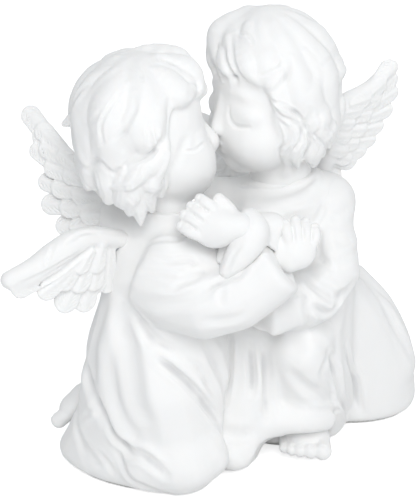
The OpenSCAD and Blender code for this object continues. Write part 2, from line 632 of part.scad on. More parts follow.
module rising_arm_right() difference() {
    union() {
        difference() {
            rising_arm_right_form();
            rising_form(glue_gap);
            kneeling_form(glue_gap);
            kneeling_arm_near_form(glue_gap);
        }
        tenon(tenon_rise_right);
    }
    socket(tenon_hand_right);
    palm_pocket(hand_rise_right);
}
module rising_hand_right() {
    difference() {
        hand(hand_rise_right);
        kneeling_form(glue_gap);
        kneeling_head_form(glue_gap);
        kneeling_arm_near_form(glue_gap);
    }
    tenon(tenon_hand_right);
}
module rising_foot() {
    above_felt() foot(foot_rise);
    tenon(tenon_rise_foot);
}

// ---- pins, dowels and felt ----
module wing_pins() for (w = [wing_kneel_near, wing_kneel_far, wing_rise_left, wing_rise_right]) wing_pin(w);
module neck_dowels() for (n = [kneel_neck, rise_throat]) neck_dowel(n);
module hem_outline(s) polygon([for (p = gown_ring(s[0], s[1] - [1, 1] * felt_inset, s[2])) [p.x, p.y]]);
module felt_pads() linear_extrude(felt_t) {
    hem_outline(kneel_sections[0]);
    hem_outline(rise_sections[0]);
    hem_outline(fold_sections[0]);
}

module placed(tint) translate(group_shift) color(tint) children();

placed(resin) kneeling_body();
placed(resin) kneeling_head();
placed(resin) kneeling_wing(wing_kneel_near);  // kneeling_wing_near
placed(resin) kneeling_wing(wing_kneel_far);  // kneeling_wing_far
placed(resin) kneeling_arm_near();
placed(resin) kneeling_hand_near();
placed(resin) kneeling_arm_far();
placed(resin) kneeling_hand_far();
placed(resin) kneeling_foot();
placed(resin) rising_body();
placed(resin) rising_head();
placed(resin) rising_wing(wing_rise_left);  // rising_wing_left
placed(resin) rising_wing(wing_rise_right);  // rising_wing_right
placed(resin) rising_arm_left();
placed(resin) rising_arm_right();
placed(resin) rising_hand_right();
placed(resin) rising_foot();
placed(steel) wing_pins();
placed(steel) neck_dowels();
placed(felt) felt_pads();
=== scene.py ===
# %% [markdown]
# # Two angels, cast in white resin
# The real figurine is a pair of small winged children in loose gowns, one kneeling and
# reaching up for a kiss, one half risen and bending down to it. Each is cast in matte
# white resin in several pieces, pinned and glued, and rubbed down until only the carving
# shows.
#
# The CAD model holds the pieces at their true size. This script gives them their looks:
# folds, curls, feathers and faces. It begins by loading the imported model as a fixed
# frame.

# %% Load the frame
import math
import bpy
import numpy as np
import openvdb
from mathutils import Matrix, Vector


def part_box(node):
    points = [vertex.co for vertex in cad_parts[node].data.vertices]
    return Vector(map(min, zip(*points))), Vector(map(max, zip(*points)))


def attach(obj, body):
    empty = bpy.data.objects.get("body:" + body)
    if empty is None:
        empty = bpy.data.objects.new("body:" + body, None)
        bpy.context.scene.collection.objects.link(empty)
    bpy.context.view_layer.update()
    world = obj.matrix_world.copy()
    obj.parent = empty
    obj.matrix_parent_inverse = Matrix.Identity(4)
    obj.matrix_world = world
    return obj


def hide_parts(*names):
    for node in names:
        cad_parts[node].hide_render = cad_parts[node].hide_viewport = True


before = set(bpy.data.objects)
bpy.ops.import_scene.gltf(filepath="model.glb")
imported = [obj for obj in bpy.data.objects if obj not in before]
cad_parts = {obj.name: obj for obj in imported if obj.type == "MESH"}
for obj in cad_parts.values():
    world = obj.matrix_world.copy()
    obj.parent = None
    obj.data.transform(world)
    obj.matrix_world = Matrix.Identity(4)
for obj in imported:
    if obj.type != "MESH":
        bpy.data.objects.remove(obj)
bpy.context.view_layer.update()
MM = 0.001  # metres in a millimetre: the clay is worked in millimetres
print("pieces in the frame:", len(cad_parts))

# %% [markdown]
# # The camera and the light
# Such a small white piece is shown on a pale sheet, from about 60 cm away with a long
# lens, and a little from above. White resin shows its carving only where the light comes
# more from one side than the other, so the lamps are big and soft, and the one above and
# in front is the strongest. Big area lamps do this; a bare point lamp would draw hard
# shadows that hide the folds.

# %% Camera
def look_at(obj, target):
    """Turns an object so that its -Z axis points at a place."""
    obj.rotation_euler = (Vector(target) - obj.location).to_track_quat("-Z", "Y").to_euler()


aim = Vector((-0.0042, -0.0113, 0.071))
view_far = 0.600
view_rise = math.radians(20)

camera = bpy.data.objects.new("camera", bpy.data.cameras.new("camera"))
bpy.context.collection.objects.link(camera)
camera.location = aim + view_far * Vector((0, -math.cos(view_rise), math.sin(view_rise)))
camera.data.lens = 141.2
camera.data.sensor_width = 36
camera.data.clip_start = 0.01
look_at(camera, aim)
bpy.context.scene.camera = camera
bpy.context.scene.view_settings.view_transform = "Standard"
print("camera at", [round(v, 3) for v in camera.location])

# %% Lamps
def soft_box(name, place, size, watts):
    """A square area lamp that looks at the middle of the group."""
    lamp = bpy.data.lights.new(name, "AREA")
    lamp.size = size
    lamp.energy = watts
    obj = bpy.data.objects.new(name, lamp)
    bpy.context.collection.objects.link(obj)
    obj.location = place
    look_at(obj, aim)
    print(name, "lamp:", watts, "watts")


soft_box("key", (0.04, -0.64, 0.58), 0.40, 2.9)
soft_box("fill", (0.75, -0.45, 0.35), 0.60, 0.7)
soft_box("rim", (0.20, 0.60, 0.70), 0.50, 0.6)

# %% [markdown]
# # White round about
# On a white sheet in a white room, light comes back on to the piece from all sides. A
# room of white walls could be built for that. Here the world itself glows, and a round
# sheet lies underneath: it takes the soft shadow, and a little light of its own fades it
# into the white behind.
#
# A material in Blender is a net of shader nodes. The four helpers below place and join
# such nodes, so that each finish reads as a short list of what it is made of.

# %% Shader nodes in fewer words
def dial(node, **values):
    """Sets inputs of a shader node by their names, with _ in the place of a space."""
    for name, value in values.items():
        node.inputs[name.replace("_", " ")].default_value = value


def put(tree, kind, **values):
    """Adds a shader node and sets its inputs."""
    node = tree.nodes.new("ShaderNode" + kind)
    dial(node, **values)
    return node


def join(tree, source, output, target, entry):
    """Links an output of one node to an input of another."""
    tree.links.new(source.outputs[output], target.inputs[entry])


def new_finish(name):
    """A new material, with its node tree and its main shader."""
    finish = bpy.data.materials.new(name)
    finish.use_nodes = True
    return finish, finish.node_tree, finish.node_tree.nodes["Principled BSDF"]


# %% White surroundings
def white_world(glow):
    """Gives grey light to the object, and plain white to the eye and to polished metal."""
    world = bpy.data.worlds.new("studio")
    bpy.context.scene.world = world
    world.use_nodes = True
    tree = world.node_tree
    tree.nodes.clear()
    light = put(tree, "Background", Color=(0.94, 0.97, 1.0, 1), Strength=glow)
    seen = put(tree, "Background", Color=(1, 1, 1, 1), Strength=1.0)
    rays = put(tree, "LightPath")
    either = put(tree, "Math")
    either.operation = "MAXIMUM"
    blend = put(tree, "MixShader")
    out = put(tree, "OutputWorld")
    join(tree, rays, "Is Camera Ray", either, 0)
    join(tree, rays, "Is Glossy Ray", either, 1)
    join(tree, either, 0, blend, "Fac")
    join(tree, light, 0, blend, 1)
    join(tree, seen, 0, blend, 2)
    join(tree, blend, 0, out, "Surface")
    print("surroundings glow at", glow)


white_world(0.57)

# %% White sheet
def white_sheet(half_width, glow):
    """The sheet that the group stands on: it takes the shadow and fades to white."""
    finish, tree, paint = new_finish("white_sheet")
    dial(paint, Base_Color=(0.9, 0.9, 0.9, 1), Roughness=0.9)
    bright = put(tree, "Emission", Strength=glow)
    rays = put(tree, "LightPath")
    to_eye = put(tree, "MixShader")
    both = put(tree, "AddShader")
    join(tree, rays, "Is Camera Ray", to_eye, "Fac")
    join(tree, bright, 0, to_eye, 2)
    join(tree, to_eye, 0, both, 0)
    join(tree, paint, 0, both, 1)
    join(tree, both, 0, tree.nodes["Material Output"], "Surface")
    bpy.ops.mesh.primitive_circle_add(vertices=96, radius=half_width, fill_type="NGON")
    sheet = bpy.context.active_object
    sheet.name = "sheet"
    sheet.location.z = -0.2 * MM
    sheet.data.materials.append(finish)
    print("sheet:", 2 * half_width, "m across")


white_sheet(6, 0.62)

# %% [markdown]
# # The finish: matte white resin
# The casting is mixed with stone powder, so it is dead matt, faintly warm and lets a
# little light in. The deepest lines are painted a little grey, as painted shade, and the
# ridges stay clean. Each mesh carries a number for how deep each point lies in a hollow,
# which its own carving gives it, and the material reads that number.

# %% Noise, tones and bumps
def noise(tree, scale, detail, stretch=(1, 1, 1)):
    """A noise fixed to the piece, stretched along its grain."""
    where = put(tree, "TexCoord")
    along = put(tree, "Mapping", Scale=stretch)
    cloud = put(tree, "TexNoise", Scale=scale, Detail=detail)
    join(tree, where, "Object", along, "Vector")
    join(tree, along, "Vector", cloud, "Vector")
    return cloud


def tones(tree, paint, source, *stops):
    """Colours the paint by a number, through stops of (number, colour)."""
    ramp = put(tree, "ValToRGB")
    marks = ramp.color_ramp.elements
    for mark, (number, colour) in zip(marks, (stops[0], stops[-1])):
        mark.position = number
        mark.color = (*colour, 1)
    for number, colour in stops[1:-1]:
        marks.new(number).color = (*colour, 1)
    join(tree, source, 0, ramp, "Fac")
    join(tree, ramp, "Color", paint, "Base Color")


def bumps(tree, paint, grain, strength, height):
    """Lets a noise lift the skin. The height is in metres."""
    skin = put(tree, "Bump", Strength=strength, Distance=height)
    join(tree, grain, "Fac", skin, "Height")
    join(tree, skin, "Normal", paint, "Normal")


# %% Resin
def resin_finish():
    """Matte stone-filled resin with random tone, and painted shade that greys its hollows and leaves its
    ridges clean.
    """
    finish, tree, paint = new_finish("white_resin")
    dial(paint, Roughness=0.62, Specular_IOR_Level=0.32, Subsurface_Weight=0.12,
         Subsurface_Radius=(1.0, 0.86, 0.74), Subsurface_Scale=0.0012)
    # Each point's depth in a hollow, which is painted darker below as shade.
    hollow_shade = put(tree, "Attribute")
    hollow_shade.attribute_name = "hollow_shade"
    grain_and_painted_shade = put(tree, "Math")
    grain_and_painted_shade.operation = "MULTIPLY_ADD"
    grain_and_painted_shade.inputs[1].default_value = 0.16
    join(tree, noise(tree, 38, 3), "Fac", grain_and_painted_shade, 0)
    join(tree, hollow_shade, "Fac", grain_and_painted_shade, 2)
    # Random tone from the noise, plus painted shade: the grey last stop darkens the hollows.
    tones(tree, paint, grain_and_painted_shade, (0.42, (0.875, 0.872, 0.865)), (0.62, (0.84, 0.837, 0.83)),
          (1.0, (0.68, 0.68, 0.682)))
    bumps(tree, paint, noise(tree, 1400, 4), 0.22, 0.0001)
    return finish


white_resin = resin_finish()
print("finish:", white_resin.name)

# %% [markdown]
# # Clay, as a block of cells
# The original of such a figurine is modelled in clay: lumps are pressed on, joints are
# wetted and smoothed, and lines are drawn with a loop tool. Blender's sculpt brushes do
# that by hand, but a brush stroke can't be written down in a lesson. Here the clay is a
# block of small cells that each hold their distance to the skin: below zero is clay and
# above zero is air. Pressing a lump on is a smooth minimum, cutting is a smooth maximum,
# and a drawn line just adds a little distance along a curve. OpenVDB, which Blender
# brings along, turns the block into a skin of quads.

# %% The block
AIR = 5.0


def melt(old, lump, blend):
    """Joins two blocks of distances with a fillet of about the size of blend."""
    mix = np.clip(0.5 + 0.5 * (old - lump) / blend, 0, 1)
    return old + (lump - old) * mix - blend * mix * (1 - mix)


class Clay:
    """A block of cells, each holding its distance to the skin in millimetres."""

    def __init__(self, low, high, cell):
        self.cell = cell
        self.low = np.array(low, float) - 3.0
        counts = np.ceil((np.array(high) + 3.0 - self.low) / cell).astype(int) + 1
        self.axes = [(start + cell * np.arange(count)).astype(np.float32)
                     for start, count in zip(self.low, counts)]
        self.skin = np.full(counts, AIR, np.float32)
        self.parts = {}

    def window(self, low, high):
        """The part of the block between two corners: its slices and its coordinates."""
        part, rulers = [], []
        for i, axis in enumerate(self.axes):
            a, b = np.searchsorted(axis, (low[i], high[i]))
            part.append(slice(a, b))
            rulers.append(axis[a:b].reshape([-1 if j == i else 1 for j in range(3)]))
        return tuple(part), rulers

    def stretches(self, path, part, reaches):
        """Walks a path inside a window. For each stretch between two points it gives the
        cells near it, how far along it they are (0 to 1) and how far from it."""
        for a, b, reach in zip(path, path[1:], reaches):
            piece, rulers = self.window(np.minimum(a, b) - reach, np.maximum(a, b) + reach)
            run = b - a
            away = [r - np.float32(c) for r, c in zip(rulers, a)]
            ahead = sum(v * float(n) for v, n in zip(away, run))
            share = np.clip(ahead / max(float(run @ run), 1e-6), 0, 1)
            gap = np.sqrt(sum((v - share * float(n)) ** 2 for v, n in zip(away, run)))
            cells = tuple(slice(s.start - w.start, s.stop - w.start) for s, w in zip(piece, part))
            yield cells, share, gap

    def add(self, form, blend=1.0):
        """Presses a lump on. blend is the size of the fillet where it meets the rest."""
        part, lump = form(self, blend)
        self.skin[part] = melt(self.skin[part], lump, blend)

    def cut(self, form, blend=0.6):
        """Takes a lump away."""
        part, lump = form(self, blend)
        self.skin[part] = -melt(-self.skin[part], lump, blend)


trial = Clay((-8, -8, -8), (8, 8, 8), cell=0.5)
print("the trial block has", trial.skin.size, "cells, all air")

# %% [markdown]
# A line is drawn through a few given points. A Catmull-Rom curve passes through
# every one of them, which a Bezier curve with automatic handles would do as well, but
# this one needs three lines of arithmetic and no Blender object.

# %% Smooth curves
def curve(points, step=1.0):
    """A smooth curve through the points, with one point about every step millimetres."""
    points = np.array(points, float).reshape(-1, 3)
    ends = np.vstack([2 * points[0] - points[1], points, 2 * points[-1] - points[-2]])
    rows = []
    for a, b, c, d in zip(ends, ends[1:], ends[2:], ends[3:]):
        count = max(2, int(np.linalg.norm(c - b) / step) + 1)
        t = np.linspace(0, 1, count, endpoint=False)[:, None]
        rows.append(0.5 * (2 * b + (c - a) * t + (2 * a - 5 * b + 4 * c - d) * t ** 2
                           + (3 * b - a - 3 * c + d) * t ** 3))
    return np.vstack(rows + [points[-1:]])


def unit(vector):
    """The same direction with a length of one."""
    vector = np.array(vector, float)
    return vector / np.linalg.norm(vector)


print("a curve of 20 mm has", len(curve([(0, 0, 0), (20, 0, 0)])), "points")

# %% Lumps and limbs
def ball(at, radii, axes=None):
    """An oval lump. axes are the three directions that its radii lie along."""
    at = np.array(at, float)
    radii = np.broadcast_to(np.array(radii, float), 3)

    def form(clay, blend):
        reach = radii.max() + blend + 1
        part, rulers = clay.window(at - reach, at + reach)
        local = [r - c for r, c in zip(rulers, at.astype(np.float32))]
        if axes is not None:
            local = [sum(float(a) * v for a, v in zip(axis, local)) for axis in axes]
        near = np.sqrt(sum((v / r) ** 2 for v, r in zip(local, radii.astype(np.float32))))
        slope = np.sqrt(sum((v / r ** 2) ** 2 for v, r in zip(local, radii.astype(np.float32))))
        return part, near * (near - 1) / np.maximum(slope, 1e-4)

    return form


def limb(points, radii, step=1.5):
    """A round limb along a smooth curve. One radius holds throughout; more are spread
    evenly over its length."""
    path = curve(points, step)
    radii = np.atleast_1d(radii)
    sizes = np.interp(np.linspace(0, 1, len(path)), np.linspace(0, 1, len(radii)), radii)

    def form(clay, blend):
        reach = sizes.max() + blend + 1
        part, rulers = clay.window(path.min(0) - reach, path.max(0) + reach)
        lump = np.full([r.size for r in rulers], AIR, np.float32)
        reaches = np.maximum(sizes[:-1], sizes[1:]) + blend + 1
        stretches = clay.stretches(path, part, reaches)
        for (cells, share, gap), thick, next_thick in zip(stretches, sizes, sizes[1:]):
            skin = gap - (thick + (next_thick - thick) * share)
            lump[cells] = np.minimum(lump[cells], skin)
        return part, lump

    return form


trial.add(ball((0, 0, 0), 6))
print("a ball of clay fills", int((trial.skin < 0).sum()), "cells")

# %% Reading the block, and sliding a point to its skin
def read(clay, points, cells=None):
    """The number at some points, read between the cells. It is the distance to the skin
    unless another block of cells is given."""
    cells = clay.skin if cells is None else cells
    place = (np.atleast_2d(points) - clay.low) / clay.cell
    place = np.clip(place, 0, np.array(cells.shape) - 1.001)
    base = place.astype(int)
    part = place - base
    total = 0
    for corner in np.ndindex(2, 2, 2):
        weight = np.prod(np.where(corner, part, 1 - part), axis=1)
        total = total + weight * cells[tuple((base + corner).T)]
    return total


def slide(clay, points, turns=5):
    """Moves each point to the nearest skin, and gives the outward direction there too."""
    points = np.array(points, float).reshape(-1, 3)
    nudge = clay.cell * np.eye(3)
    for _ in range(turns):
        here = read(clay, points)
        out = np.stack([read(clay, points + n) - read(clay, points - n) for n in nudge], 1)
        out /= np.maximum(np.linalg.norm(out, axis=1, keepdims=True), 1e-6)
        points = points - out * np.clip(here, -2, 2)[:, None]
    return points, out


spots, _ = slide(trial, (8, 0, 0))
print("a point 8 mm out slides in to", round(float(spots[0, 0]), 1), "mm")

# %% Drawn lines
BANK_AT = 1.75
BANK_STEEP = 1.6
LINE_REACH = 3.0


def draw(clay, points, width, depth, lip=0.25, taper=0.25, step=1.0, follow=True):
    """Draws a line in the skin. A negative depth raises a ridge. The clay that the tool
    pushes aside makes banks, as high as lip says, and taper is the share of the line's
    length that runs out at each end."""
    path = curve(points, step)
    if follow:
        path, _ = slide(clay, path)
    along = np.linspace(0, 1, len(path))
    force = depth * np.clip(np.minimum(along, 1 - along) / taper, 0.12, 1) ** 0.7
    reach = LINE_REACH * width
    part, rulers = clay.window(path.min(0) - reach, path.max(0) + reach)
    near = np.full([r.size for r in rulers], 3 * LINE_REACH, np.float32)
    push = np.zeros_like(near)
    for (cells, _, gap), here in zip(clay.stretches(path, part, [reach] * len(path)), force):
        gap = gap / width
        closer = gap < near[cells]
        near[cells] = np.where(closer, gap, near[cells])
        push[cells] = np.where(closer, here, push[cells])
    banks = lip * np.exp(-BANK_STEEP * (near - BANK_AT) ** 2)
    clay.skin[part] += push * (np.exp(-near ** 2) - banks)


draw(trial, [(0, -4, 6), (0, 4, 6)], 1.0, 0.8)
print("the line is", round(float(read(trial, (0, 0, 6))[0]), 1), "mm deep")

# %% [markdown]
# The solids of the frame are the armature that the clay is built on. Each node's own mesh
# is turned into a block of distances and pressed on, and the facets that a CAD mesh has
# are smoothed away as a wet finger does it. That keeps every piece where the frame says.

# %% Pressing a CAD node on, and smoothing
def corners(*nodes):
    """The lowest and highest corner round some CAD nodes, in millimetres."""
    boxes = [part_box(node) for node in nodes]
    low = [min(b[0][i] for b in boxes) / MM for i in range(3)]
    high = [max(b[1][i] for b in boxes) / MM for i in range(3)]
    return np.array(low), np.array(high)


def press(clay, *nodes, blend=1.5):
    """Presses the solids of some CAD nodes on to the clay, and remembers each of them."""
    for node in nodes:
        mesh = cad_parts[node].data
        mesh.calc_loop_triangles()
        points = np.empty(len(mesh.vertices) * 3, np.float32)
        mesh.vertices.foreach_get("co", points)
        triangles = np.empty(len(mesh.loop_triangles) * 3, np.int32)
        mesh.loop_triangles.foreach_get("vertices", triangles)
        points = (points.reshape(-1, 3) / MM - clay.low) / clay.cell
        grid = openvdb.FloatGrid.createLevelSetFromPolygons(
            points.astype(np.float32), triangles=triangles.reshape(-1, 3).astype(np.uint32),
            halfWidth=AIR / clay.cell)
        solid = np.full(clay.skin.shape, AIR / clay.cell, np.float32)
        grid.copyToArray(solid)
        solid *= clay.cell
        clay.parts[node] = solid
        clay.skin = melt(clay.skin, solid, blend)


def softened(cells, reach):
    """A smoothed copy of a block. reach is in cells."""
    count = int(math.ceil(2.5 * reach))
    taps = np.exp(-0.5 * (np.arange(-count, count + 1) / reach) ** 2)
    taps /= taps.sum()
    for axis in range(3):
        wide = np.pad(cells, [(count, count) if i == axis else (0, 0) for i in range(3)], mode="edge")
        total = np.zeros_like(cells)
        for k, tap in enumerate(taps):
            pick = [slice(k, k + cells.shape[i]) if i == axis else slice(None) for i in range(3)]
            total += np.float32(tap) * wide[tuple(pick)]
        cells = total
    return cells


trial.skin = softened(trial.skin, 1.5)
print("wetted, the line is", round(float(read(trial, (0, 0, 6))[0]), 1), "mm deep")

# %% From clay to a Blender mesh
# How wide and how deep a hollow must be to get the full painted shade, in millimetres.
SHADE_REACH = 1.1
SHADE_DEPTH = 0.7


def cast(node, clay, cells=None):
    """Makes a smooth mesh of the clay, in the place of a CAD node. It carries a number that says
    how far each point lies below the skin around it, which the resin paints as shade."""
    cells = clay.skin if cells is None else cells
    grid = openvdb.FloatGrid(AIR)
    grid.copyFromArray(np.ascontiguousarray(np.clip(cells, -AIR, AIR)))
    points, quads = grid.convertToQuads(0.0)
    points = points * clay.cell + clay.low
    name = node + "_carved"
    mesh = bpy.data.meshes.new(name)
    mesh.from_pydata((points * MM).tolist(), [], quads[:, ::-1].tolist())
    mesh.validate()
    mesh.polygons.foreach_set("use_smooth", [True] * len(mesh.polygons))
    # Points below their smoothed skin get painted shade in the resin.
    sunk = softened(clay.skin, SHADE_REACH / clay.cell) - clay.skin
    hollow_shade = np.clip(-read(clay, points, sunk) / SHADE_DEPTH, 0, 1).astype(np.float32)
    mesh.attributes.new("hollow_shade", "FLOAT", "POINT").data.foreach_set("value", hollow_shade)
    mesh.materials.append(white_resin)
    piece = bpy.data.objects.new(name, mesh)
    bpy.context.collection.objects.link(piece)
    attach(piece, "root")
    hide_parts(node)
    print(name, len(mesh.polygons), "quads")


def part_castings(clay, nodes, overlap=1.2, under=0.03):
    """Parts the clay at its glue lines, where two pressed solids are equally near. The first
    piece runs a little on under the others, a hair below their skin, to close the joint."""
    for node in nodes:
        others = [solid for other, solid in clay.parts.items() if other != node]
        beyond = 0.5 * (clay.parts[node] - np.minimum.reduce(others))
        if node == nodes[0]:
            cast(node, clay, np.maximum(clay.skin + under, beyond - overlap))
        else:
            cast(node, clay, np.maximum(clay.skin, beyond))

# %% [markdown]
# # The kneeling child's gown
# The gown is one loose piece of cloth: it hangs from the shoulders, is pulled over the
# bent thigh, and its hem curls in under the knee. The sleeves are their own castings, so
# body and sleeves are pressed together here, smoothed as one, carved as one, and then
# parted again at the glue line. Modelling each alone would leave an ugly gap at the
# shoulder.
#
# A fold in carved cloth is a drawn valley with a soft roll on each side. Every row below
# gives a fold's width and depth, and the places in millimetres that it runs through.
# Where cloth bridges the gap between two solids, a lump of clay is pressed on first.

# %% Folds and fills as rows
GOWN_CELL = 0.48


def carve(clay, rows, force=0.8):
    """Draws a list of folds: (width, depth, points). A negative depth is a raised roll."""
    for width, depth, points in rows:
        draw(clay, points, width * 1.1, depth * force)
    print(len(rows), "folds drawn")


def fill(clay, rows):
    """Presses on a list of lumps: (fillet, radii, points). One point makes it a ball."""
    for blend, radii, points in rows:
        clay.add(limb(points, radii) if len(points) > 1 else ball(points[0], radii), blend)
    print(len(rows), "lumps pressed on")


kneeling_parts = ("kneeling_body", "kneeling_arm_near", "kneeling_arm_far")
kneeler = Clay(*corners(*kneeling_parts), cell=GOWN_CELL)
press(kneeler, *kneeling_parts, blend=2.0)
kneeler.skin = softened(kneeler.skin, 2.6)
neck = (2.5, [10, 8.4], [(-16.6, -17, 80), (-17.4, -17.4, 86.4)])
back = (5.0, 7.5, [(-29.5, -14, 77)])
nape = (4.0, (5.5, 5.5, 5), [(-34, -8, 82)])
sleeve_top = (4.0, [5.5, 5.5, 5], [(-16, -29, 76.5), (-10, -29.5, 75.5), (-6, -30, 74)])
side = (4.0, [3.8, 4, 4, 4], [(-33, -14, 59), (-36, -14, 47), (-39, -14, 35), (-40.5, -14, 25)])
knee = (4.0, [6.5, 7.4, 6.5], [(-24, -33, 9), (-12, -34.5, 8.5), (-5, -30, 10)])
fill(kneeler, [neck, back, nape, sleeve_top, side, knee])

# %% Folds over the thigh and round the knee
carve(kneeler, [
    (1.6, 1.5, [(-28, -29, 60), (-25, -32, 54), (-20, -33, 49), (-14, -33, 46)]),
    (1.2, 1.7, [(-22, -34, 48), (-19, -34, 44), (-12, -33, 37), (-6, -31, 29), (-2, -28, 22), (0, -25, 15)]),
    (1.6, -0.7, [(-19, -34, 47), (-11, -34, 40), (-5, -31, 32), (-1, -28, 24)]),
    (2.6, 2.4, [(-31, -28, 62), (-30, -30, 52), (-28, -33, 41), (-26, -35, 31), (-23, -37, 23)]),
    (2.4, -1.4, [(-33, -26, 58), (-36, -26, 47), (-37, -27, 36), (-35, -29, 26), (-29, -33, 18),
                 (-20, -36, 12)]),
    (1.9, 1.8, [(-43, -14, 36), (-42, -20, 31), (-39, -26, 26), (-35, -30, 20)]),
    (1.3, 2.8, [(-37, -28, 24), (-34, -31, 19), (-29, -34, 15), (-23, -36, 12), (-17, -38, 9)]),
    (1.2, 1.0, [(-33, -32, 14), (-29, -34, 9), (-23, -36, 5), (-17, -36, 3)]),
    (0.8, 0.5, [(-39, -28, 11), (-36, -31, 9), (-34, -32, 6)]),
    (1.0, -0.6, [(-45, -20, 15), (-42, -24, 20), (-39, -26, 24)]),
    (1.3, 0.6, [(-45, -22, 12), (-42, -25, 10), (-39, -29, 7)]),
    (1.2, 0.7, [(-10, -32, 43), (-6, -31, 38), (-4, -29, 32)]),
    (1.6, 1.2, [(-6, -30, 50), (-3, -28, 43), (0, -25, 35), (2, -22, 26)]),
], 1.0)

# %% Folds on the back, from the shoulders down to the hem
carve(kneeler, [
    (2.0, 1.3, [(-38, -12, 70), (-42, -8, 56), (-44, -6, 42), (-45, -4, 30)]),
    (1.8, 1.2, [(-36, 2, 70), (-40, 4, 54), (-42, 6, 40), (-44, 6, 26)]),
    (1.6, 1.1, [(-41, -16, 62), (-44, -16, 48), (-45, -14, 34)]),
    (1.6, 1.2, [(-26, 8, 66), (-30, 9, 50), (-34, 9, 34), (-38, 9, 18)]),
    (1.6, 1.1, [(-16, 9, 62), (-20, 9, 46), (-25, 9, 30), (-30, 9, 12)]),
    (1.4, 1.0, [(-7, 8, 52), (-11, 8, 38), (-16, 8, 22), (-20, 8, 6)]),
    (1.4, 0.9, [(-48, -12, 22), (-46, -20, 14), (-42, -27, 6)]),
    (1.5, -0.8, [(-32, 6, 66), (-35, 8, 50), (-38, 9, 34)]),
])

# %% The sleeves: gathered at the shoulder, hanging in one deep scoop
carve(kneeler, [
    (1.7, 1.3, [(-24, -37, 64), (-18, -41, 65), (-11, -43, 67), (-6, -43, 69), (-2, -42, 71)]),
    (1.2, 0.7, [(-14, -40, 71), (-12, -40, 73), (-8, -38, 74), (-4, -37, 74)]),
    (0.7, 0.8, [(-24, -28, 79), (-18, -30, 79), (-12, -29, 77), (-7, -25, 75)]),
    (0.8, 1.0, [(-22, -33, 77), (-16, -35, 76), (-12, -34, 76), (-7, -28, 74)]),
    (0.9, 0.9, [(-22, -38, 70), (-16, -41, 69.5), (-13, -41, 71), (-9, -40, 72), (-6, -38, 73)]),
    (0.7, 0.6, [(-26, -33, 73), (-19, -37, 73), (-13, -39, 73)]),
    (1.0, 1.5, [(-6, -43, 70), (-2, -42, 72), (1, -41, 73), (4, -41, 74), (6, -40, 76)]),
    (1.0, 0.7, [(0, -42, 71), (-1, -44, 69), (-1, -44, 67)]),
    (1.5, 0.8, [(-7, -44, 61), (-1, -44, 61), (4, -44, 62), (6, -44, 65)]),
    (0.9, 0.9, [(5, -40, 75), (9, -38, 78), (13, -34, 80)]),
    (1.4, 0.8, [(-12, 14, 72), (-4, 19, 70), (4, 23, 68)]),
    (1.2, 0.8, [(-14, 10, 64), (-6, 18, 60), (2, 23, 58)]),
])

# %% The gown and its sleeves become castings
part_castings(kneeler, kneeling_parts)

# %% [markdown]
# # The rising child's gown
# This one stands half up, so its skirt falls in long folds to the floor in front, is
# tight over the shin, and balloons out smooth behind. The folds run nearly straight
# down, and the deepest are those between the two legs.

# %% The skirt, filled where the cloth bridges two solids
rising_parts = ("rising_body", "rising_arm_left", "rising_arm_right")
riser = Clay(*corners(*rising_parts), cell=GOWN_CELL)
press(riser, *rising_parts, blend=1.6)
riser.skin = softened(riser.skin, 2.4)
drape = (4.0, [4, 4, 4.5, 5.5, 6], [(2, -4, 54), (0, -7, 40), (0, -9, 28), (-1, -12, 16), (0, -15, 8)])
middle_fold = (4.0, [4.5, 5.5, 6], [(12, -8, 44), (13, -8, 26), (13, -9, 12)])
drape_foot = (3.0, 4, [(-3, -18, 5), (3, -20.5, 5), (6, -19, 5.5)])
hem = (6.0, [3.2, 3.2, 3.2, 3], [(14, -12, 14), (20, -13.5, 14), (27, -13, 14), (32, -9.5, 13)])
collar = (2.0, (10.5, 10.5, 4), [(16.6, 1.2, 88.5)])
chest = (3.0, [6, 6.5, 7], [(-4, 8, 82), (2, 6, 82), (8, 3, 82)])
drape_front = (4.0, 3.5, [(3, -12, 50), (2.5, -12, 42), (2, -12, 34), (1, -12, 24)])
sleeve_end = (3.0, (6, 4.5, 4.5), [(13, -27, 84)])
skirt_edge = (6.0, 4, [(43, 24, 49), (50, 24, 41), (54, 24, 34), (57, 24, 26), (59, 24, 19)])
shoulder = (5.0, (10, 9, 9), [(31, 6, 81.5)])
cuff_leaf = (2.0, [3.6, 4.9, 4.8, 3.8, 2.0],
             [(7.5, -34, 88.5), (8.3, -35.5, 86), (6.3, -37, 82), (3.4, -38.5, 78), (0.8, -39.5, 74.6)])
fill(riser, [drape, middle_fold, drape_foot, hem, collar, chest, drape_front, sleeve_end,
             skirt_edge, shoulder, cuff_leaf])

# The cloth falls away under the sleeves, and beside the bare foot.
riser.cut(limb([(6, -22, 43), (13, -23, 43), (21, -22, 44)], [5.5, 5.5, 5]), 4.0)
riser.cut(limb([(13.5, -22, 2), (14.5, -14, 5)], [5, 4.5]), 1.5)

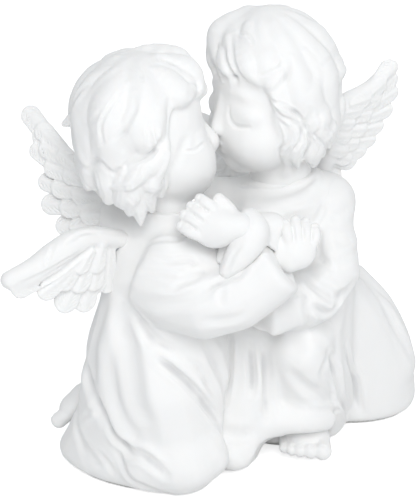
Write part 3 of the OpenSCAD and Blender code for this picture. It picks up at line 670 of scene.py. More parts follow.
# %% Folds down the front of the skirt
carve(riser, [
    (0.8, 1.2, [(2, -16, 46), (2, -15.5, 38), (2, -15.5, 32), (1, -15.5, 22)]),
    (1.1, 1.4, [(8, -14, 41), (9, -16, 33), (9, -17, 26)]),
    (1.3, 1.6, [(12, -13, 40), (13, -14, 30), (13, -14, 22), (13.5, -15, 16)]),
    (1.5, -0.8, [(10, -14, 39), (11, -16, 30), (10, -18, 19)]),
    (1.8, 1.0, [(-2, -19, 14), (4, -21, 13), (9, -19, 13)]),
    (1.8, 1.2, [(20, -19, 35), (25, -17, 28), (30, -14, 24), (35, -6, 18)]),
    (0.9, 0.9, [(27, -12, 16), (32, -9, 15), (36, -4, 14)]),
    (1.5, 0.7, [(29, -17, 43), (32, -14, 38), (31, -15, 31), (34, -7, 22)]),
    (1.3, 1.9, [(33, -13, 38), (35, -8, 30), (37, -6, 24), (39, -2, 16), (41, 10, 6)]),
    (1.1, 1.5, [(39, -1, 35), (41, 3, 27), (43, 11, 17), (44, 12, 11), (46, 13, 5)]),
    (1.4, 0.6, [(50, 14, 52), (53, 16, 41), (58, 19, 30), (62, 23, 18)]),
    (1.6, -0.7, [(52, 14, 50), (56, 17, 39), (60, 21, 28)]),
], 1.1)

# %% Folds round the back of the skirt
carve(riser, [
    (1.8, 1.1, [(48, 36, 56), (54, 42, 38), (57, 44, 20), (58, 45, 6)]),
    (1.7, 1.2, [(36, 38, 60), (40, 44, 40), (42, 46, 22), (42, 46, 6)]),
    (1.7, 1.2, [(24, 34, 62), (26, 40, 44), (26, 42, 24), (26, 42, 6)]),
    (1.6, 1.1, [(12, 28, 60), (12, 34, 42), (12, 36, 22), (12, 36, 6)]),
    (1.5, 1.1, [(2, 18, 58), (1, 22, 40), (1, 24, 20), (1, 24, 6)]),
    (1.4, 1.0, [(-1, 6, 50), (-1, 6, 34), (-1, 6, 14)]),
    (1.7, -0.8, [(30, 38, 60), (33, 43, 42), (34, 45, 22)]),
    (1.7, -0.8, [(18, 32, 60), (19, 38, 42), (19, 40, 22)]),
])

# %% Sleeves, elbow and the rolled collar
carve(riser, [
    (1.6, 2.4, [(25, -14, 66), (26, -18, 64), (29, -20, 62), (34, -18, 58), (38, -14, 58), (40, -12, 60)]),
    (1.2, 1.4, [(25, -24, 58), (28, -22, 56), (32, -19, 53), (35, -17, 55), (36, -16, 58)]),
    (1.0, 1.2, [(29, -12, 69), (31, -14, 68), (33, -16, 67)]),
    (1.3, 1.2, [(25, -21, 62), (25, -24, 58), (26, -22, 52), (25, -19, 47)]),
    (1.2, 1.0, [(29, -13, 68), (29, -10, 71), (29, -8, 75)]),
    (1.0, 0.8, [(26, -6, 78), (28, -5, 80), (30, -2, 83)]),
    (1.3, 0.7, [(33, -6, 78), (35, -4, 80), (38, -1, 81)]),
    (1.4, 0.7, [(32, -9, 74), (36, -9, 73), (41, -6, 73)]),
    (1.2, 0.6, [(35, -14, 69), (39, -10, 69), (42, -4, 69)]),
    (1.1, 0.9, [(19, -25, 61), (23, -23, 62), (26, -23, 59)]),
    (0.6, 0.7, [(5, -41, 84), (2, -42, 80), (0, -43, 76)]),
    (1.0, 1.0, [(22, -7, 79), (22, -8, 77), (23, -8, 74)]),
    (0.6, 1.1, [(5, -1, 89), (8, -5, 90), (13, -8, 90.5), (18, -8.5, 91), (23, -4, 92), (26, 4, 92)]),
    (1.6, 1.2, [(3, -6, 84), (7, -9, 84), (12, -10.5, 84.5), (18, -10.5, 85.5), (24, -7, 87), (28, -3, 90)]),
])

# %% The gown and its sleeves become castings too
part_castings(riser, rising_parts)

# %% [markdown]
# # The heads
# A doll maker builds a head as a skull with a shell of hair over it and an opening for
# the face. The CAD heads hold those main forms, so each is pressed on and wetted smooth,
# and the waves, the cheeks and the closed eyes are worked on top of it. Places on the
# face are how far forward, aside and up they are from the middle of the skull. Places in
# the hair are two angles, as on a globe, since a lock runs over the skull like a road.

# %% Places on a head
HEAD_CELL = 0.36


class Head:
    """A head in the clay, with its own forward, aside and up. offset leads from the lowest
    corner of its node to the middle of its skull, and face is the way it looks."""

    def __init__(self, node, offset, face):
        low, high = corners(node)
        self.middle = low + np.array(offset)
        self.forward = unit(face)
        self.aside = unit(np.cross(self.forward, (0, 0, 1)))
        self.up = np.cross(self.aside, self.forward)
        self.axes = (self.forward, self.aside, self.up)
        self.clay = Clay(low - 1, high + 1, HEAD_CELL)
        press(self.clay, node)
        self.clay.skin = softened(self.clay.skin, 1.0 / HEAD_CELL)

    def at(self, forward, aside, up):
        """A place on the face."""
        return self.middle + forward * self.forward + aside * self.aside + up * self.up

    def lump(self, place, radii, blend=2.0):
        """A ball pressed on the face."""
        self.clay.add(ball(self.at(*place), radii, self.axes), blend)

    def roll(self, places, radii, blend=1.0):
        """A limb pressed on the face."""
        self.clay.add(limb([self.at(*p) for p in places], radii, 0.8), blend)

    def line(self, places, width, depth, lip=0.2):
        """A line drawn in the face."""
        draw(self.clay, [self.at(*p) for p in places], width, depth, lip, step=0.7)

    def around(self, turn, rise, reach=20.0):
        """A place by its angles: turn from the front of the group, rise from the level."""
        t, r = math.radians(turn), math.radians(rise)
        way = (math.sin(t) * math.cos(r), -math.cos(t) * math.cos(r), math.sin(r))
        return self.middle + reach * np.array(way)

    def trace(self, rows):
        """Draws lines in the hair: (places, width, depth)."""
        for bends, width, depth in rows:
            draw(self.clay, [self.around(*b) for b in bends], width, depth, 0.3, 0.3, step=0.8)
        print(len(rows), "lines drawn in the hair")


# %% [markdown]
# Carved hair is not strands but locks: thick ribbons that lie over each other, each with
# two or three tool lines along it. A lock here is a limb of clay sunk into the hair so
# that only its back stands out, drawn along with finer lines that follow its bends. A
# Blender hair system would give thousands of loose fibres, which no mould could cast.

# %% A lock of hair
STRAND_WIDTH = 0.42
BLUNT_ROOT, BLUNT_TIP = 0.12, 0.95


def lock(head, bends, thick, stands=0.0, strands=2, lift=0.0, comb=0.16):
    """One ribbon of hair through places given as (turn, rise) angles round the head. It
    stands out of the skull by so many millimetres, and its tip lifts a little more. With
    a third number in each place, the reach from the middle, it hangs free of the skull."""
    clay = head.clay
    path = curve([head.around(*bend) for bend in bends], 1.0)
    out = path - head.middle
    out /= np.linalg.norm(out, axis=1, keepdims=True)
    if len(bends[0]) == 2:
        path, out = slide(clay, path, 7)
    along = np.linspace(0, 1, len(path))[:, None]
    swell = math.pi * (BLUNT_ROOT + (BLUNT_TIP - BLUNT_ROOT) * along[:, 0])
    sizes = thick * np.clip(np.sin(swell), 0.16, 1)
    middle = path + out * (stands * sizes[:, None] / thick - sizes[:, None] + lift * along ** 2)
    clay.add(limb(middle[::2], sizes[::2], 1.6), 0.55)
    ahead = np.gradient(middle, axis=0)
    across = np.cross(ahead, out)
    across /= np.maximum(np.linalg.norm(across, axis=1, keepdims=True), 1e-6)
    top = middle + out * sizes[:, None]
    for k in range(strands):
        offset = thick * 0.9 * ((k + 0.5) / strands - 0.5)
        line, _ = slide(clay, (top + across * offset * np.sin(math.pi * (0.15 + 0.7 * along)))[2:-1:2], 3)
        draw(clay, line, STRAND_WIDTH, comb, 0.15, follow=False)


def lay(head, rows, **how):
    """Lays a list of locks: (places, thickness, how far they stand out)."""
    for row in rows:
        lock(head, *row, **how)
    print(len(rows), "locks laid")


# %% [markdown]
# # The kneeling child's head
# Its face is turned half away and its eyes are closed. A doll's face is few soft forms:
# cheeks, chin, brow and a small nose that is pressed on as a short limb. A closed eye is
# nothing but one line, and the mouth is two thin rolls. Eyes could be set in as balls
# under lids, but at this size a lid that is shut shows only its edge.

# %% The kneeling child's face
kneel = Head("kneeling_head", (20.7, 20.9, 30.1), (0.86, 0.42, -0.10))
kneel.lump((9.0, 0, -8.5), (12.0, 13.6, 14.0), 4.0)  # the round of the face
for aside in (-1, 1):
    kneel.lump((12.6, 6.8 * aside, -12.0), (8.0, 7.6, 8.4), 4.0)  # cheeks
kneel.lump((16.6, 0, -17.6), (4.8, 5.6, 4.4), 3.0)  # chin
kneel.lump((17.6, 0, -9.5), (5.4, 5.4, 4.6), 2.5)  # muzzle
# The nose, the fullness round the mouth, and the upper and the lower lip.
kneel.roll([(17.6, 0, 0.5), (19.6, 0.5, -3.0), (22.6, 1.5, -6.4)], [1.8, 2.8, 3.6], 2.5)
kneel.lump((20.2, 1.5, -12.4), (3.4, 4.6, 3.6), 2.5)
kneel.roll([(22.8, -2.6, -9.3), (24.6, 0, -8.9), (22.8, 2.6, -9.3)], [0.7, 1.1, 0.7], 0.6)
kneel.roll([(22.4, -2.2, -11.4), (24.2, 0, -11.6), (22.4, 2.2, -11.4)], [0.7, 1.1, 0.7], 0.6)
for aside in (-1, 1):
    # The lid, the line where it shuts, and the edge of the hair beside the face.
    kneel.lump((13.0, 9.0 * aside, -2.8), (3.4, 4.4, 2.8), 2.0)
    kneel.line([(14.6, 12.0 * aside, -3.6), (12.0, 13.4 * aside, -5.4), (9.0, 14.6 * aside, -5.2)], 0.5, 0.7)
    kneel.line([(9.4, 15.0 * aside, 0.4), (7.6, 15.3 * aside, -3.3), (6.6, 15.2 * aside, -6.4),
                (6.0, 14.9 * aside, -9.4)], 1.3, 0.45)
print("kneeling head:", kneel.clay.skin.size // 1000, "thousand cells")

# %% [markdown]
# The hair is laid as a hairdresser cuts it, from the nape up, so that each layer covers
# the roots of the one below: first the waves on the shoulders, then the smooth bob, and
# last the fringe. All of it could be one bumpy cap, but the eye looks for ends and gaps.

# %% The waves that come out from under its bob, down to the shoulders
lay(kneel, [
    (((-170, -22), (-164, -38), (-172, -52)), 4.6, 1.6),
    (((-138, -22), (-132, -38), (-138, -52)), 4.6, 1.6),
    (((-104, -20), (-98, -34), (-104, -48)), 4.6, 1.6),
    (((158, -22), (164, -38), (156, -52)), 4.6, 1.6),
    (((134, -20), (140, -36), (132, -50)), 4.0, 1.6)], strands=2, lift=0.6, comb=0.2)
lay(kneel, [
    (((-150, -30, 19), (-146, -46, 22), (-152, -58, 25)), 4.6),
    (((-118, -30, 19), (-112, -46, 22), (-118, -58, 25)), 4.6),
    (((-88, -26, 19), (-84, -42, 22), (-90, -56, 25)), 4.6),
    (((-62, -24, 19), (-64, -38, 22), (-58, -52, 25)), 4.2),
    (((-45, -26, 20), (-38, -38, 22), (-38, -48, 24), (-48, -56, 25)), 3.8),
    (((-26, -28, 20), (-22, -42, 23), (-24, -54, 25), (-36, -63, 26)), 3.9),
    (((-70, 16, 19), (-78, 8, 20.5), (-86, -2, 23.5)), 2.6),
    (((-8, -40, 20), (-2, -52, 24), (0, -60, 27), (3, -68, 31)), 4.2),
    (((8, -34, 20), (8, -48, 23), (14, -60, 26), (24, -68, 28)), 3.6),
    (((26, -36, 19), (30, -50, 22), (34, -60, 24.5)), 3.4)], strands=2, comb=0.25)
lay(kneel, [
    (((-12, -26), (-13, -38), (-6, -50), (0, -60)), 3.0, 1.3),
    (((26, -6), (22, -16), (13, -28), (5, -38), (0, -48)), 3.3, 1.5),
    (((25, 6), (21, -7), (12, -20), (2, -30), (-6, -40), (-13, -47)), 3.3, 1.6),
    (((29, -14), (20, -28), (13, -39), (10, -48), (17, -54), (26, -50), (28, -42)), 2.3, 1.5)],
    strands=2, lift=0.6, comb=0.2)

# %% The bob: a smooth cap of a few broad locks, with a lip at its lower edge
lay(kneel, [
    (((-150, 74), (-172, 48), (-166, 20), (-176, -6), (-168, -28)), 7.4, 1.0),
    (((-120, 74), (-138, 48), (-130, 20), (-142, -6), (-134, -28)), 7.4, 1.0),
    (((-90, 70), (-104, 46), (-96, 24), (-94, 8), (-100, -4)), 6.6, 1.2),
    (((160, 72), (154, 46), (160, 18), (150, -8), (158, -30)), 7.2, 1.0),
    (((120, 72), (128, 46), (136, 20), (124, -6), (134, -28)), 6.8, 1.0),
    (((-60, 60), (-66, 40), (-60, 20), (-56, 2), (-58, -14), (-52, -27)), 6.6, 1.0),
    (((-24, 56), (-34, 36), (-40, 20), (-38, 4), (-40, -10), (-44, -20)), 6.4, 0.9),
    (((-40, 58), (-50, 38), (-50, 20), (-47, 4), (-48, -10), (-49, -20)), 6.4, 0.9),
    (((-18, 52), (-25, 36), (-30, 20), (-30, 6), (-33, -6)), 6.0, 0.9),
    (((-12, 48), (-18, 34), (-22, 20), (-23, 8), (-26, -1)), 5.6, 0.9),
    (((10, 50), (8, 36), (8, 20), (2, 4), (-8, -10), (-17, -23)), 6.8, 1.0),
    (((30, 34), (22, 22), (22, 12), (17, 2), (10, -8)), 4.2, 0.8)], strands=0)
kneel.trace([
    ([(-19, 38), (-22, 32), (-25, 25), (-28, 16), (-29, 7), (-29, -3)], 0.55, 0.7),
    ([(-26, 24), (-32, 18), (-38, 12)], 0.8, 0.3),
    ([(0, 38), (-1, 26), (-5, 17), (-12, 6), (-22, -1)], 0.9, 0.5),
    ([(9, 14), (10, 4), (13, -7)], 0.7, 0.6),
    ([(15, 12), (16, 3), (19, -5)], 0.6, 0.4),
    ([(27, 12), (20, -1), (14, -11), (4, -16), (-5, -21), (-14, -29), (-19, -31)], 0.9, 0.5),
    ([(-19, -31), (-25, -28), (-30, -22), (-38, -23), (-45, -28), (-54, -33)], 0.9, 0.5),
    ([(-54, -33), (-60, -24), (-68, -16), (-80, -12)], 0.9, 0.5),
    ([(-60, 44), (-66, 30), (-70, 14), (-68, 0)], 1.0, 0.45)])

# %% The fringe, swept forward to one tip, and the tuft on the crown
lay(kneel, [
    (((30, 62), (50, 50), (52, 38), (36, 31)), 5.0, 1.0),
    (((56, 66), (70, 50), (68, 36), (56, 28)), 5.2, 1.2),
    (((90, 64), (88, 48), (84, 36), (78, 28)), 5.0, 1.3),
    (((130, 66), (112, 50), (102, 38), (94, 30)), 5.0, 1.2),
    (((160, 60), (140, 46), (130, 36), (122, 29)), 5.0, 1.2)], strands=0)
kneel.trace([
    ([(60, 44), (72, 38), (80, 31)], 0.7, 0.3),
    ([(92, 72), (66, 66), (74, 54), (92, 48)], 0.9, 0.35),
    ([(-8, 66), (4, 58), (8, 50)], 0.6, 0.4)])
cast("kneeling_head", kneel.clay)

# %% [markdown]
# # The rising child's head
# It looks down and to the left, so this face shows whole. Its eye line is deeper, since
# the lid is the one sharp thing in a smooth face. Short curls gather by the ear, broad
# locks sweep back over the crown, and a few strands hang over the brow.

# %% The rising child's face
rise = Head("rising_head", (19.6, 20.7, 28.3), (-0.88, -0.50, -0.20))
rise.lump((8.6, 0, -9.5), (12.0, 12.8, 13.4), 4.0)
collar_middle = np.array([17.8, 1.4, 90])
rise.clay.add(limb([rise.at(2.0, 0, -18), collar_middle], [9.0, 9.6]), 3.0)  # neck
for aside in (-1, 1):
    rise.lump((12.4, 6.8 * aside, -13.4), (7.9, 7.8, 8.0), 3.0)  # cheek
    rise.lump((14.4, 8.6 * aside, -3.4), (3.0, 4.2, 2.8), 2.4)  # lid
rise.lump((15.4, 0, -19.6), (4.4, 4.8, 3.8), 2.5)  # chin
rise.lump((16.4, 0, -13.6), (4.4, 4.4, 3.8), 2.0)  # muzzle
# The nose, then the upper and the lower lip.
rise.roll([(17.0, 0, 1.0), (18.6, 0, -3.4), (21.0, 0, -7.2)], [1.4, 1.4, 1.9], 1.8)
rise.roll([(19.0, -2.6, -12.5), (20.8, 0, -12.1), (19.0, 2.6, -12.5)], [0.7, 1.1, 0.7], 0.6)
rise.roll([(18.6, -2.2, -14.6), (20.3, 0, -14.8), (18.6, 2.2, -14.6)], [0.7, 1.1, 0.7], 0.6)
for aside in (-1, 1):
    # The line where the lid shuts, and the brow over it.
    rise.line([(18.0, 4.6 * aside, -0.6), (18.2, 4.6 * aside, -3.0), (18.0, 5.6 * aside, -5.2),
               (17.4, 7.9 * aside, -6.2), (15.8, 10.8 * aside, -5.9)], 0.55, 1.35, 0.0)
    rise.line([(17.6, 3.4 * aside, 3.4), (16.4, 7.4 * aside, 3.8), (13.6, 11.4 * aside, 1.2)], 1.5, -0.5)
print("rising head:", rise.clay.skin.size // 1000, "thousand cells")

# %% Its side locks and the curls on the nape
lay(rise, [
    (((96, -16), (92, -32), (98, -46)), 4.4, 1.6),
    (((124, -16), (128, -32), (122, -46)), 4.6, 1.6),
    (((152, -16), (148, -32), (154, -46)), 4.6, 1.6),
    (((178, -14), (184, -32), (178, -46)), 4.4, 1.6),
    (((50, -12), (44, -24), (50, -36), (60, -48)), 3.6, 1.4)], strands=2, lift=0.6, comb=0.22)
lay(rise, [
    (((90, -30, 19), (84, -44, 23), (90, -56, 27)), 4.4),
    (((64, -30, 20), (58, -42, 24), (68, -52, 27.5)), 4.0),
    (((34, -12, 19), (40, -24, 21), (52, -35, 23), (66, -44, 26.5)), 3.6),
    (((32, -18, 19.5), (36, -30, 21.5), (45, -40, 24.5), (43, -50, 27), (52, -56, 28)), 3.0),
    (((18, -14, 19), (27, -26, 20.5), (31, -38, 23.5), (25, -50, 26), (33, -59, 27.5)), 3.1),
    (((8, -12, 18.5), (16, -24, 20.5), (20, -36, 23), (13, -49, 24.5), (18, -60, 26)), 3.0),
    (((3, -12, 18.5), (8, -26, 20), (12, -39, 21.5), (6, -51, 22.5), (9, -60, 23)), 2.6)],
    strands=2, comb=0.3)
rise.trace([
    ([(4, -16), (12, -26), (16, -38), (10, -50)], 0.7, 0.6),
    ([(12, -14), (22, -26), (26, -38), (19, -50)], 0.7, 0.6),
    ([(26, -18), (33, -30), (38, -42), (34, -52)], 0.7, 0.6)])

# %% Its crown: broad locks swept back from the brow
lay(rise, [
    (((150, 70), (158, 46), (150, 22), (160, -2), (152, -28)), 7.6, 0.8),
    (((180, 70), (186, 46), (178, 22), (188, -2), (180, -28)), 7.6, 0.8),
    (((-150, 68), (-150, 44), (-158, 22), (-148, -2), (-156, -28)), 7.0, 1.0),
    (((116, 70), (130, 46), (122, 22), (130, 0), (122, -26)), 7.6, 0.7),
    (((60, 62), (76, 46), (84, 34), (90, 26)), 6.6, 0.8),
    (((56, 40), (62, 22), (58, 4), (62, -14)), 6.6, 0.6),
    (((34, 40), (42, 20), (38, 2), (42, -16), (52, -30), (66, -42)), 6.0, 0.8),
    (((16, 36), (22, 18), (20, 4), (27, -12), (30, -26)), 5.4, 0.9),
    (((-44, 62), (-28, 46), (-12, 34), (0, 24), (0, 14), (-8, 8)), 6.0, 1.0),
    (((-8, 3), (2, -4), (10, -11), (19, -19)), 2.0, 0.9)], strands=0)
rise.trace([
    ([(6, 34), (3, 28), (-4, 24), (-11, 22)], 0.5, 0.7),
    ([(15, 36), (13, 28), (9, 19), (2, 11), (-5, 7), (-13, 5)], 0.9, 0.5),
    ([(-9, 3), (-2, 0), (6, -4), (18, -11), (27, -19)], 0.6, 0.8),
    ([(-6, -1), (2, -8), (10, -16), (18, -23)], 0.6, 0.5),
    ([(28, -2), (31, -12), (29, -22), (28, -32)], 0.9, 0.5),
    ([(46, 24), (54, 26), (62, 27)], 0.8, 0.3),
    ([(40, -14), (43, -24), (41, -36)], 0.7, 0.3),
    ([(-44, 57), (-34, 52), (-25, 45)], 0.5, 0.5)])

# %% Its forelock, and the strands that hang over the brow
lay(rise, [
    (((-60, 52), (-40, 38), (-28, 26), (-24, 14)), 4.4, 0.8),
    (((-62, 46), (-48, 34), (-38, 22), (-33, 10)), 3.0, 0.9),
    (((-70, 40), (-58, 30), (-47, 19), (-43, 8)), 2.8, 0.9),
    (((-84, 40), (-76, 30), (-62, 18), (-54, 7)), 2.8, 0.9),
    (((-104, 44), (-96, 30), (-84, 18), (-74, 6)), 3.2, 1.0),
    (((-124, 50), (-114, 34), (-102, 22), (-92, 12)), 3.8, 1.0)], strands=0)
lay(rise, [
    (((56, 20, 16), (70, 17, 20), (84, 13, 23.5)), 6.0),
    (((-76, 50, 19), (-88, 40, 21), (-96, 30, 22.5), (-98, 20, 21)), 3.4)], strands=1)
rise.trace([
    ([(-57, 48), (-42, 38), (-31, 27), (-28, 17)], 0.8, 0.5),
    ([(-63, 40), (-53, 33), (-43, 24), (-38, 14)], 0.8, 0.5),
    ([(-73, 31), (-60, 26), (-50, 18), (-48, 12)], 0.8, 0.5)])
# The fullness over the forehead, under the forelock.
fill(rise.clay, [(4.0, [2.5, 2.8, 2.5], [(2, 0, 139), (-1.4, 0, 136.3), (-1.8, 0, 133.4)])])
cast("rising_head", rise.clay)

# %% [markdown]
# # The wings
# Each wing is a thick leading roll, from which feathers fan out in overlapping rows, long
# ones first and short ones on top, like roof tiles. A feather is a curved plate with a
# quill down its middle and barbs that run off it at a slant. Barbs could be a bump
# texture, but a cast piece has them in its skin, so they are carved into each plate.

# %% A feather
PLATE_THICK = 1.5
PLATE_CROWN = 0.5
ROOT_WIDTH = 0.62
QUILL_HIGH = 0.35
QUILL_WIDE = 0.55
BARB_PITCH = 1.5
BARB_SLANT = 1.4


def feather(root, along, across, normal, length, width, barbs):
    """A plate with a round tip, a quill, and slanting barbs of a given depth on both faces."""
    along, across, normal = unit(along), unit(across), unit(normal)
    root = np.array(root, float)
    tip = root + along * (length - width / 2)

    def form(clay, blend):
        reach = width / 2 + PLATE_THICK + PLATE_CROWN + blend
        part, rulers = clay.window(np.minimum(root, tip) - reach, np.maximum(root, tip) + reach)
        local = [r - np.float32(c) for r, c in zip(rulers, root)]
        a, b, c = [sum(float(n) * v for n, v in zip(axis, local)) for axis in (along, across, normal)]
        straight = length - width / 2
        grow = ROOT_WIDTH + (1 - ROOT_WIDTH) * np.clip(a / max(straight, 1), 0, 1)
        outline = np.sqrt((a - np.clip(a, 0, straight)) ** 2 + b ** 2) - width / 2 * grow
        side = np.abs(b)
        lines = 0.5 + 0.5 * np.cos(2 * math.pi * (a + BARB_SLANT * side) / BARB_PITCH)
        lines = lines * np.clip(side / 0.9 - 0.5, 0, 1) * np.clip(-outline / 0.8, 0, 1)
        quill = QUILL_HIGH * np.exp(-(side / QUILL_WIDE) ** 2) * np.clip(1.2 - a / length, 0, 1)
        arch = PLATE_CROWN * (1 - (2 * b / width) ** 2)
        half = PLATE_THICK / 2 * np.clip(1.15 - 0.4 * a / length, 0.5, 1.2)
        face = np.abs(c - arch) - half - quill + barbs * lines
        return part, -melt(-outline, -face, 0.7)

    return form


print("barbs every", BARB_PITCH, "mm")

# %% A wing from rows of feathers
WING_CELL = 0.34
FEATHER_TILT = math.radians(9)


def wing(node, offset, tip_way, lead_way, show, ridge, rows, barbs=0.36):
    """A wing whose root lies offset from the lowest corner of its node. Its upper side is
    the one that show picks, 1 or -1. It has a leading roll, (places, radii), and rows of
    feathers, (lift, feathers). A feather is (place along the wing, place towards its
    lead, angle, length, width)."""
    low, high = corners(node)
    root = low + np.array(offset)
    along = unit(tip_way)
    normal = unit(np.cross(along, lead_way))
    lead = np.cross(normal, along)
    clay = Clay(low - 3, high + 3, WING_CELL)

    def at(a, b, c=0.0):
        return root + a * along + b * lead + c * show * normal

    for lift, feathers in rows:
        for a, b, angle, length, width in feathers:
            turn = math.radians(angle)
            way = math.cos(turn) * along + math.sin(turn) * lead
            over = math.cos(turn) * lead - math.sin(turn) * along
            out = math.cos(FEATHER_TILT) * show * normal + math.sin(FEATHER_TILT) * over
            over = math.cos(FEATHER_TILT) * over - math.sin(FEATHER_TILT) * show * normal
            clay.add(feather(at(a, b, lift), way, over, out, length, width, barbs), 0.25)
    places, radii = ridge
    clay.add(limb([at(*p) for p in places], radii, 1.0), 1.2)
    print(node, sum(len(feathers) for _, feathers in rows), "feathers")
    return clay, at


# %% The near wing of the kneeling child: a big smooth roll over short feathers
near_ridge = ([(-3, 1, 0), (3, 3.5, 0.2), (9, 5, 0.4), (15, 5, 0.8), (21, 3.2, 0.8),
               (28, 0.6, 0.5), (36, -1, 0)],
              [2.6, 3.0, 3.4, 3.9, 3.8, 3.2, 2.7])
near_rows = [
    (0, [(11, -3, -58, 16, 8.5), (7, -3, -72, 16.5, 8), (5.5, -1, -84, 13, 7), (2, 0, -86, 15, 7)]),
    (1.2, [(19, -1, -9, 18, 8), (15, -2.5, -24, 14, 8), (16, -1.5, -30, 8, 6.5),
           (13, -1, -44, 10.5, 7), (9, -0.5, -60, 12, 7.5), (6, 0, -76, 12.5, 7)]),
    (2.2, [(10, 1.5, -52, 7.5, 6), (6, 1.5, -72, 8, 6)])]
clay, at = wing("kneeling_wing_near", (32.8, 24.0, 21.4), (-0.80, -0.58, -0.06),
                (-0.05, -0.10, 1.0), -1, near_ridge, near_rows)

# A roll under the leading one, and the lines that part the two and run down their backs.
clay.add(limb([at(30, -2.5, 0.8), at(20, -1, 0.8), at(12, 1, 0.8)], [1.8, 2, 2]), 1.0)
for width, depth, places in (
        (0.8, 0.7, [(32, -3.4, 1), (26, -2.7, 1.6), (20.6, -1.6, 2), (16, 0, 2.4),
                    (12.4, 1.9, 2.6), (8, 2.6, 2.6)]),
        (0.6, 0.6, [(22, 6.6, 2.2), (24.6, 4.0, 3.6), (26, 2.6, 3.6)]),
        (0.6, 0.5, [(6, 6.4, 2.4), (12, 7.8, 2.4), (18, 6.6, 3)]),
        (0.6, 0.4, [(14, 3.4, 4.4), (21, 1.6, 4.4), (28, -0.4, 3.6), (34, -1.4, 2.6)])):
    draw(clay, [at(*p) for p in places], width, depth)
cast("kneeling_wing_near", clay)

# %% The far wing of the kneeling child, raised behind its head
far_ridge = ([(-3, -1, 0), (8, 1, 0), (20, 1.4, 0), (32, 1.6, 0), (40.5, 1.2, 0)],
             [2.6, 2.6, 2.2, 1.8, 1.3])
far_rows = [
    (0, [(25, -1, 4, 19.8, 6.5), (24, 0, -8, 13.5, 6), (19, -3, -8, 15.8, 6),
         (14, -3.5, -30, 13, 6.5), (9.5, -4.5, -46, 13.5, 7), (5, -4, -66, 12.5, 7),
         (1, -4, -80, 11.5, 7)]),
    (1.1, [(28, 1, -6, 10, 6), (23, 0, -14, 10.5, 6.5), (18, -1, -26, 10.5, 6.5),
           (13, -1.5, -40, 10.5, 7), (8, -2, -54, 10.5, 7), (3, -3, -66, 10, 7)]),
    (2.1, [(20, 2, -12, 8, 6), (15, 1.5, -30, 8, 6.5), (9.5, 1, -46, 8, 7), (4, 0, -60, 8, 7)])]
clay, at = wing("kneeling_wing_far", (29.0, 3.7, 9.1), (-0.66, 0.30, 0.78),
                (0.72, 0.10, 0.60), -1, far_ridge, far_rows, barbs=0.55)
cast("kneeling_wing_far", clay)

# %% The wings of the rising child, with a bent wrist in the leading roll
rising_ridge = ([(-12, -1, 0), (4, 4, 0), (14, 9, 0), (22, 10.2, 0), (27.5, 6.2, 0),
                 (32, 3.2, 0), (39.5, 0.4, 0)],
                [2.4, 2.8, 3.0, 2.8, 2.4, 2.2, 1.6])
rising_rows = [
    (0, [(24, 3, -5, 17.5, 6.5), (22, 3, -18, 17, 6.5), (20, 3, -32, 17, 6.5),
         (18, 3, -48, 15.5, 6.5), (14, 4, -58, 15.5, 6.5), (11, 3, -64, 14, 6.5),
         (8, 3, -70, 12.5, 6.5), (5, 2, -74, 10, 7), (0, 1, -80, 6.5, 6.5)]),
    (1.0, [(26, 5, -24, 9.5, 6), (22, 7, -45, 11, 6.5), (18, 8, -56, 11, 6.5),
           (14, 7, -63, 11, 6.5), (10, 6, -68, 10, 6.5), (6, 4, -75, 8.5, 6.5)]),
    (2.0, [(24, 8.5, -50, 6.5, 6), (20, 10, -58, 7, 6), (16, 10, -64, 7, 6),
           (12, 8.5, -68, 7, 6), (8, 6, -72, 6.5, 6)])]
for node, *places in (
        ("rising_wing_left", (7.0, 5.1, 9.5), (0.52, 0.12, 0.86), (-0.60, -0.45, 0.50), 1),
        ("rising_wing_right", (30.2, 5.4, 13.2), (-0.72, 0.45, 0.40), (0.10, 0.10, 1.0), -1)):
    clay, at = wing(node, *places, rising_ridge, rising_rows)
    cast(node, clay)

# %% [markdown]
# # Hands and feet
# A child's hand is a soft cushion with short fingers that taper little. Palm, fingers and
# thumb are limbs that run into each other, and the tool lines between the fingers are
# drawn afterwards, so that the fingers stay together as they do in a casting.

# %% Hands
HAND_CELL = 0.33
WRIST_REACH = 1.25
FINGER_GAP = 0.45


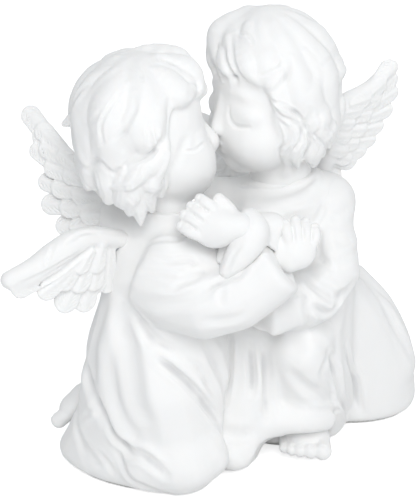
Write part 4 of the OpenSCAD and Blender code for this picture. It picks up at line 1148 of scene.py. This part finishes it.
def hand(node, offset, fingers, back, palm=4.8, sizes=(1.45, 1.7, 1.6, 1.3), spread=8,
         thumb=1, curl=0.5, wrist=None):
    """A small hand: fingers, back and wrist are the ways that these point. sizes are the
    fingers' lengths in palms, spread is the angle between two of them, thumb is the side
    that the thumb is on, and curl bends the tips down."""
    low, high = corners(node)
    middle = low + np.array(offset)
    along = unit(fingers)
    across = unit(np.cross(back, along))
    out = np.cross(along, across)
    clay = Clay(low - 2, high + 2, HAND_CELL)

    def at(a, b, c):
        return middle + a * along + b * across + c * out

    clay.add(ball(at(0, 0, 0), (palm * 1.1, palm * 0.98, palm * 0.62), (along, across, out)))
    arm = -along if wrist is None else unit(wrist)
    clay.add(limb([middle + palm * WRIST_REACH * arm, middle + palm * 0.5 * arm],
                  [palm * 0.66, palm * 0.74]), 2.5)
    for i, reach in enumerate(sizes):
        side = (1.5 - i) * palm * FINGER_GAP
        lean = math.sin(math.radians((1.5 - i) * spread))
        tip = palm * reach
        places = [at(palm * 0.2, side * 0.9, 0.5), at(tip * 0.62, side + tip * 0.62 * lean, 0.9),
                  at(tip, side + tip * lean, 0.9 - curl * palm * 0.5)]
        clay.add(limb(places, [palm * 0.33, palm * 0.32, palm * 0.27], 0.8), 0.5)
        nail = at(tip + 0.2, side + tip * lean, 1.6 - curl * palm * 0.45)
        draw(clay, [nail - 0.8 * across, nail - 0.6 * along, nail + 0.8 * across], 0.35, 0.25)
    for i in range(3):
        side = (1 - i) * palm * FINGER_GAP
        lean = math.sin(math.radians((1 - i) * spread))
        end = palm * min(sizes) * 0.95
        draw(clay, [at(palm * 0.4, side, 1.8), at(end, side + end * lean, 1.8)], 0.4, 0.9, 0.1, 0.15)
    base = thumb * palm
    clay.add(limb([at(-palm * 0.9, base * 0.55, 0), at(-palm * 0.2, base * 1.05, -0.4),
                   at(palm * 0.45, base * 1.25, -0.9)], [palm * 0.42, palm * 0.38, palm * 0.28], 0.8), 1.4)
    cast(node, clay)


hand("kneeling_hand_near", (7.6, 6.0, 9.6), (0.06, 0.25, 0.95), (0.25, -1, 0.2), palm=5.2,
     spread=6, curl=0.8, wrist=(-0.85, 0, -0.5))
hand("kneeling_hand_far", (13.4, 6.2, 7.6), (1, -0.1, 0.05), (0, 1, 0.2), curl=0.7)
hand("rising_hand_right", (10.5, 4.2, 6.8), (-0.80, 0.05, 0.52), (0.10, -1, 0.25), palm=6.2,
     sizes=(1.25, 1.4, 1.35, 1.2), spread=3, thumb=-1, curl=0.6, wrist=(0.97, -0.1, 0.05))

# %% Feet
TOES = ((0.40, 0.64, 0.84), (0.34, 0.12, 0.84), (0.31, -0.32, 0.76), (0.28, -0.68, 0.66),
        (0.25, -0.98, 0.50))


def foot(node, offset, toes, size):
    """A bare foot: a heel, a ball and five round toes. A toe's radius, place aside and
    reach are shares of the foot's size, the big toe first."""
    low, high = corners(node)
    middle = low + np.array(offset)
    along = unit(toes)
    across = unit(np.cross((0, 0, 1), along))
    out = np.cross(along, across)
    clay = Clay(low, high, HAND_CELL)

    def at(a, b, c):
        return middle + size * (a * along + b * across + c * out)

    clay.add(limb([at(-2.3, 0, 0.1), at(-0.7, 0, 0.05)], [size * 0.72, size * 0.74]))
    clay.add(ball(at(-0.1, 0, -0.1), (size * 0.9, size * 1.0, size * 0.62), (along, across, out)), 2.0)
    for big, side, reach in TOES:
        toe = limb([at(0.0, side, -0.15), at(reach, side, -0.36)], [size * big * 0.9, size * big], 0.8)
        clay.add(toe, 0.4)
        nail = at(reach + big * 0.55, side, -0.38 + big * 0.75)
        nail_side = 2.7 * big * across
        draw(clay, [nail - nail_side, nail - 0.5 * along, nail + nail_side], 0.35, 0.3)
    cast(node, clay)


foot("rising_foot", (7.7, 8.2, 5.4), (0, -1, 0), 7.3)
foot("kneeling_foot", (7.6, 8.0, 11.2), (-0.8, 0.2, -0.42), 6.6)

# %% [markdown]
# # Pins, dowels and felt
# The wings and heads are cast apart and fixed with steel pins and dowels, which the glue
# hides, and felt pads under the gowns keep the resin off the shelf. Their shapes come
# from the construction. Ground rod has fine rings round it, as the grinding wheel leaves
# them, and felt is a mat of short crossed hairs. Hairs could be modelled one by one, but
# at a tenth of a millimetre a noise that lifts the skin tells the same.

# %% A plain finish with a grain
def grained(name, dark, light, rough, scale, lift, metal=0.0, sheen=0.0, stretch=(1, 1, 1)):
    """A finish whose tone, roughness and skin follow one noise, stretched along its grain."""
    finish, tree, paint = new_finish(name)
    dial(paint, Metallic=metal, Sheen_Weight=sheen)
    grain = noise(tree, scale, 5, stretch)
    tones(tree, paint, grain, (0.3, dark), (0.7, light))
    wear = put(tree, "MapRange", To_Min=rough[0], To_Max=rough[1])
    join(tree, grain, "Fac", wear, "Value")
    join(tree, wear, "Result", paint, "Roughness")
    bumps(tree, paint, grain, 0.5, lift)
    return finish


# %% Steel for the pins and dowels, felt for the pads
ground_steel = grained("ground_steel", (0.42, 0.43, 0.45), (0.62, 0.63, 0.64), (0.24, 0.42),
                       900, 0.00002, metal=1.0, stretch=(1, 1, 6))
pressed_felt = grained("pressed_felt", (0.60, 0.60, 0.58), (0.80, 0.80, 0.78), (0.86, 0.98),
                       1600, 0.0002, sheen=0.35)
for node, finish in (("wing_pins", ground_steel), ("neck_dowels", ground_steel),
                     ("felt_pads", pressed_felt)):
    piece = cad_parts[node]
    for held in piece.material_slots:
        held.material = finish
    print(node, "is", finish.name)
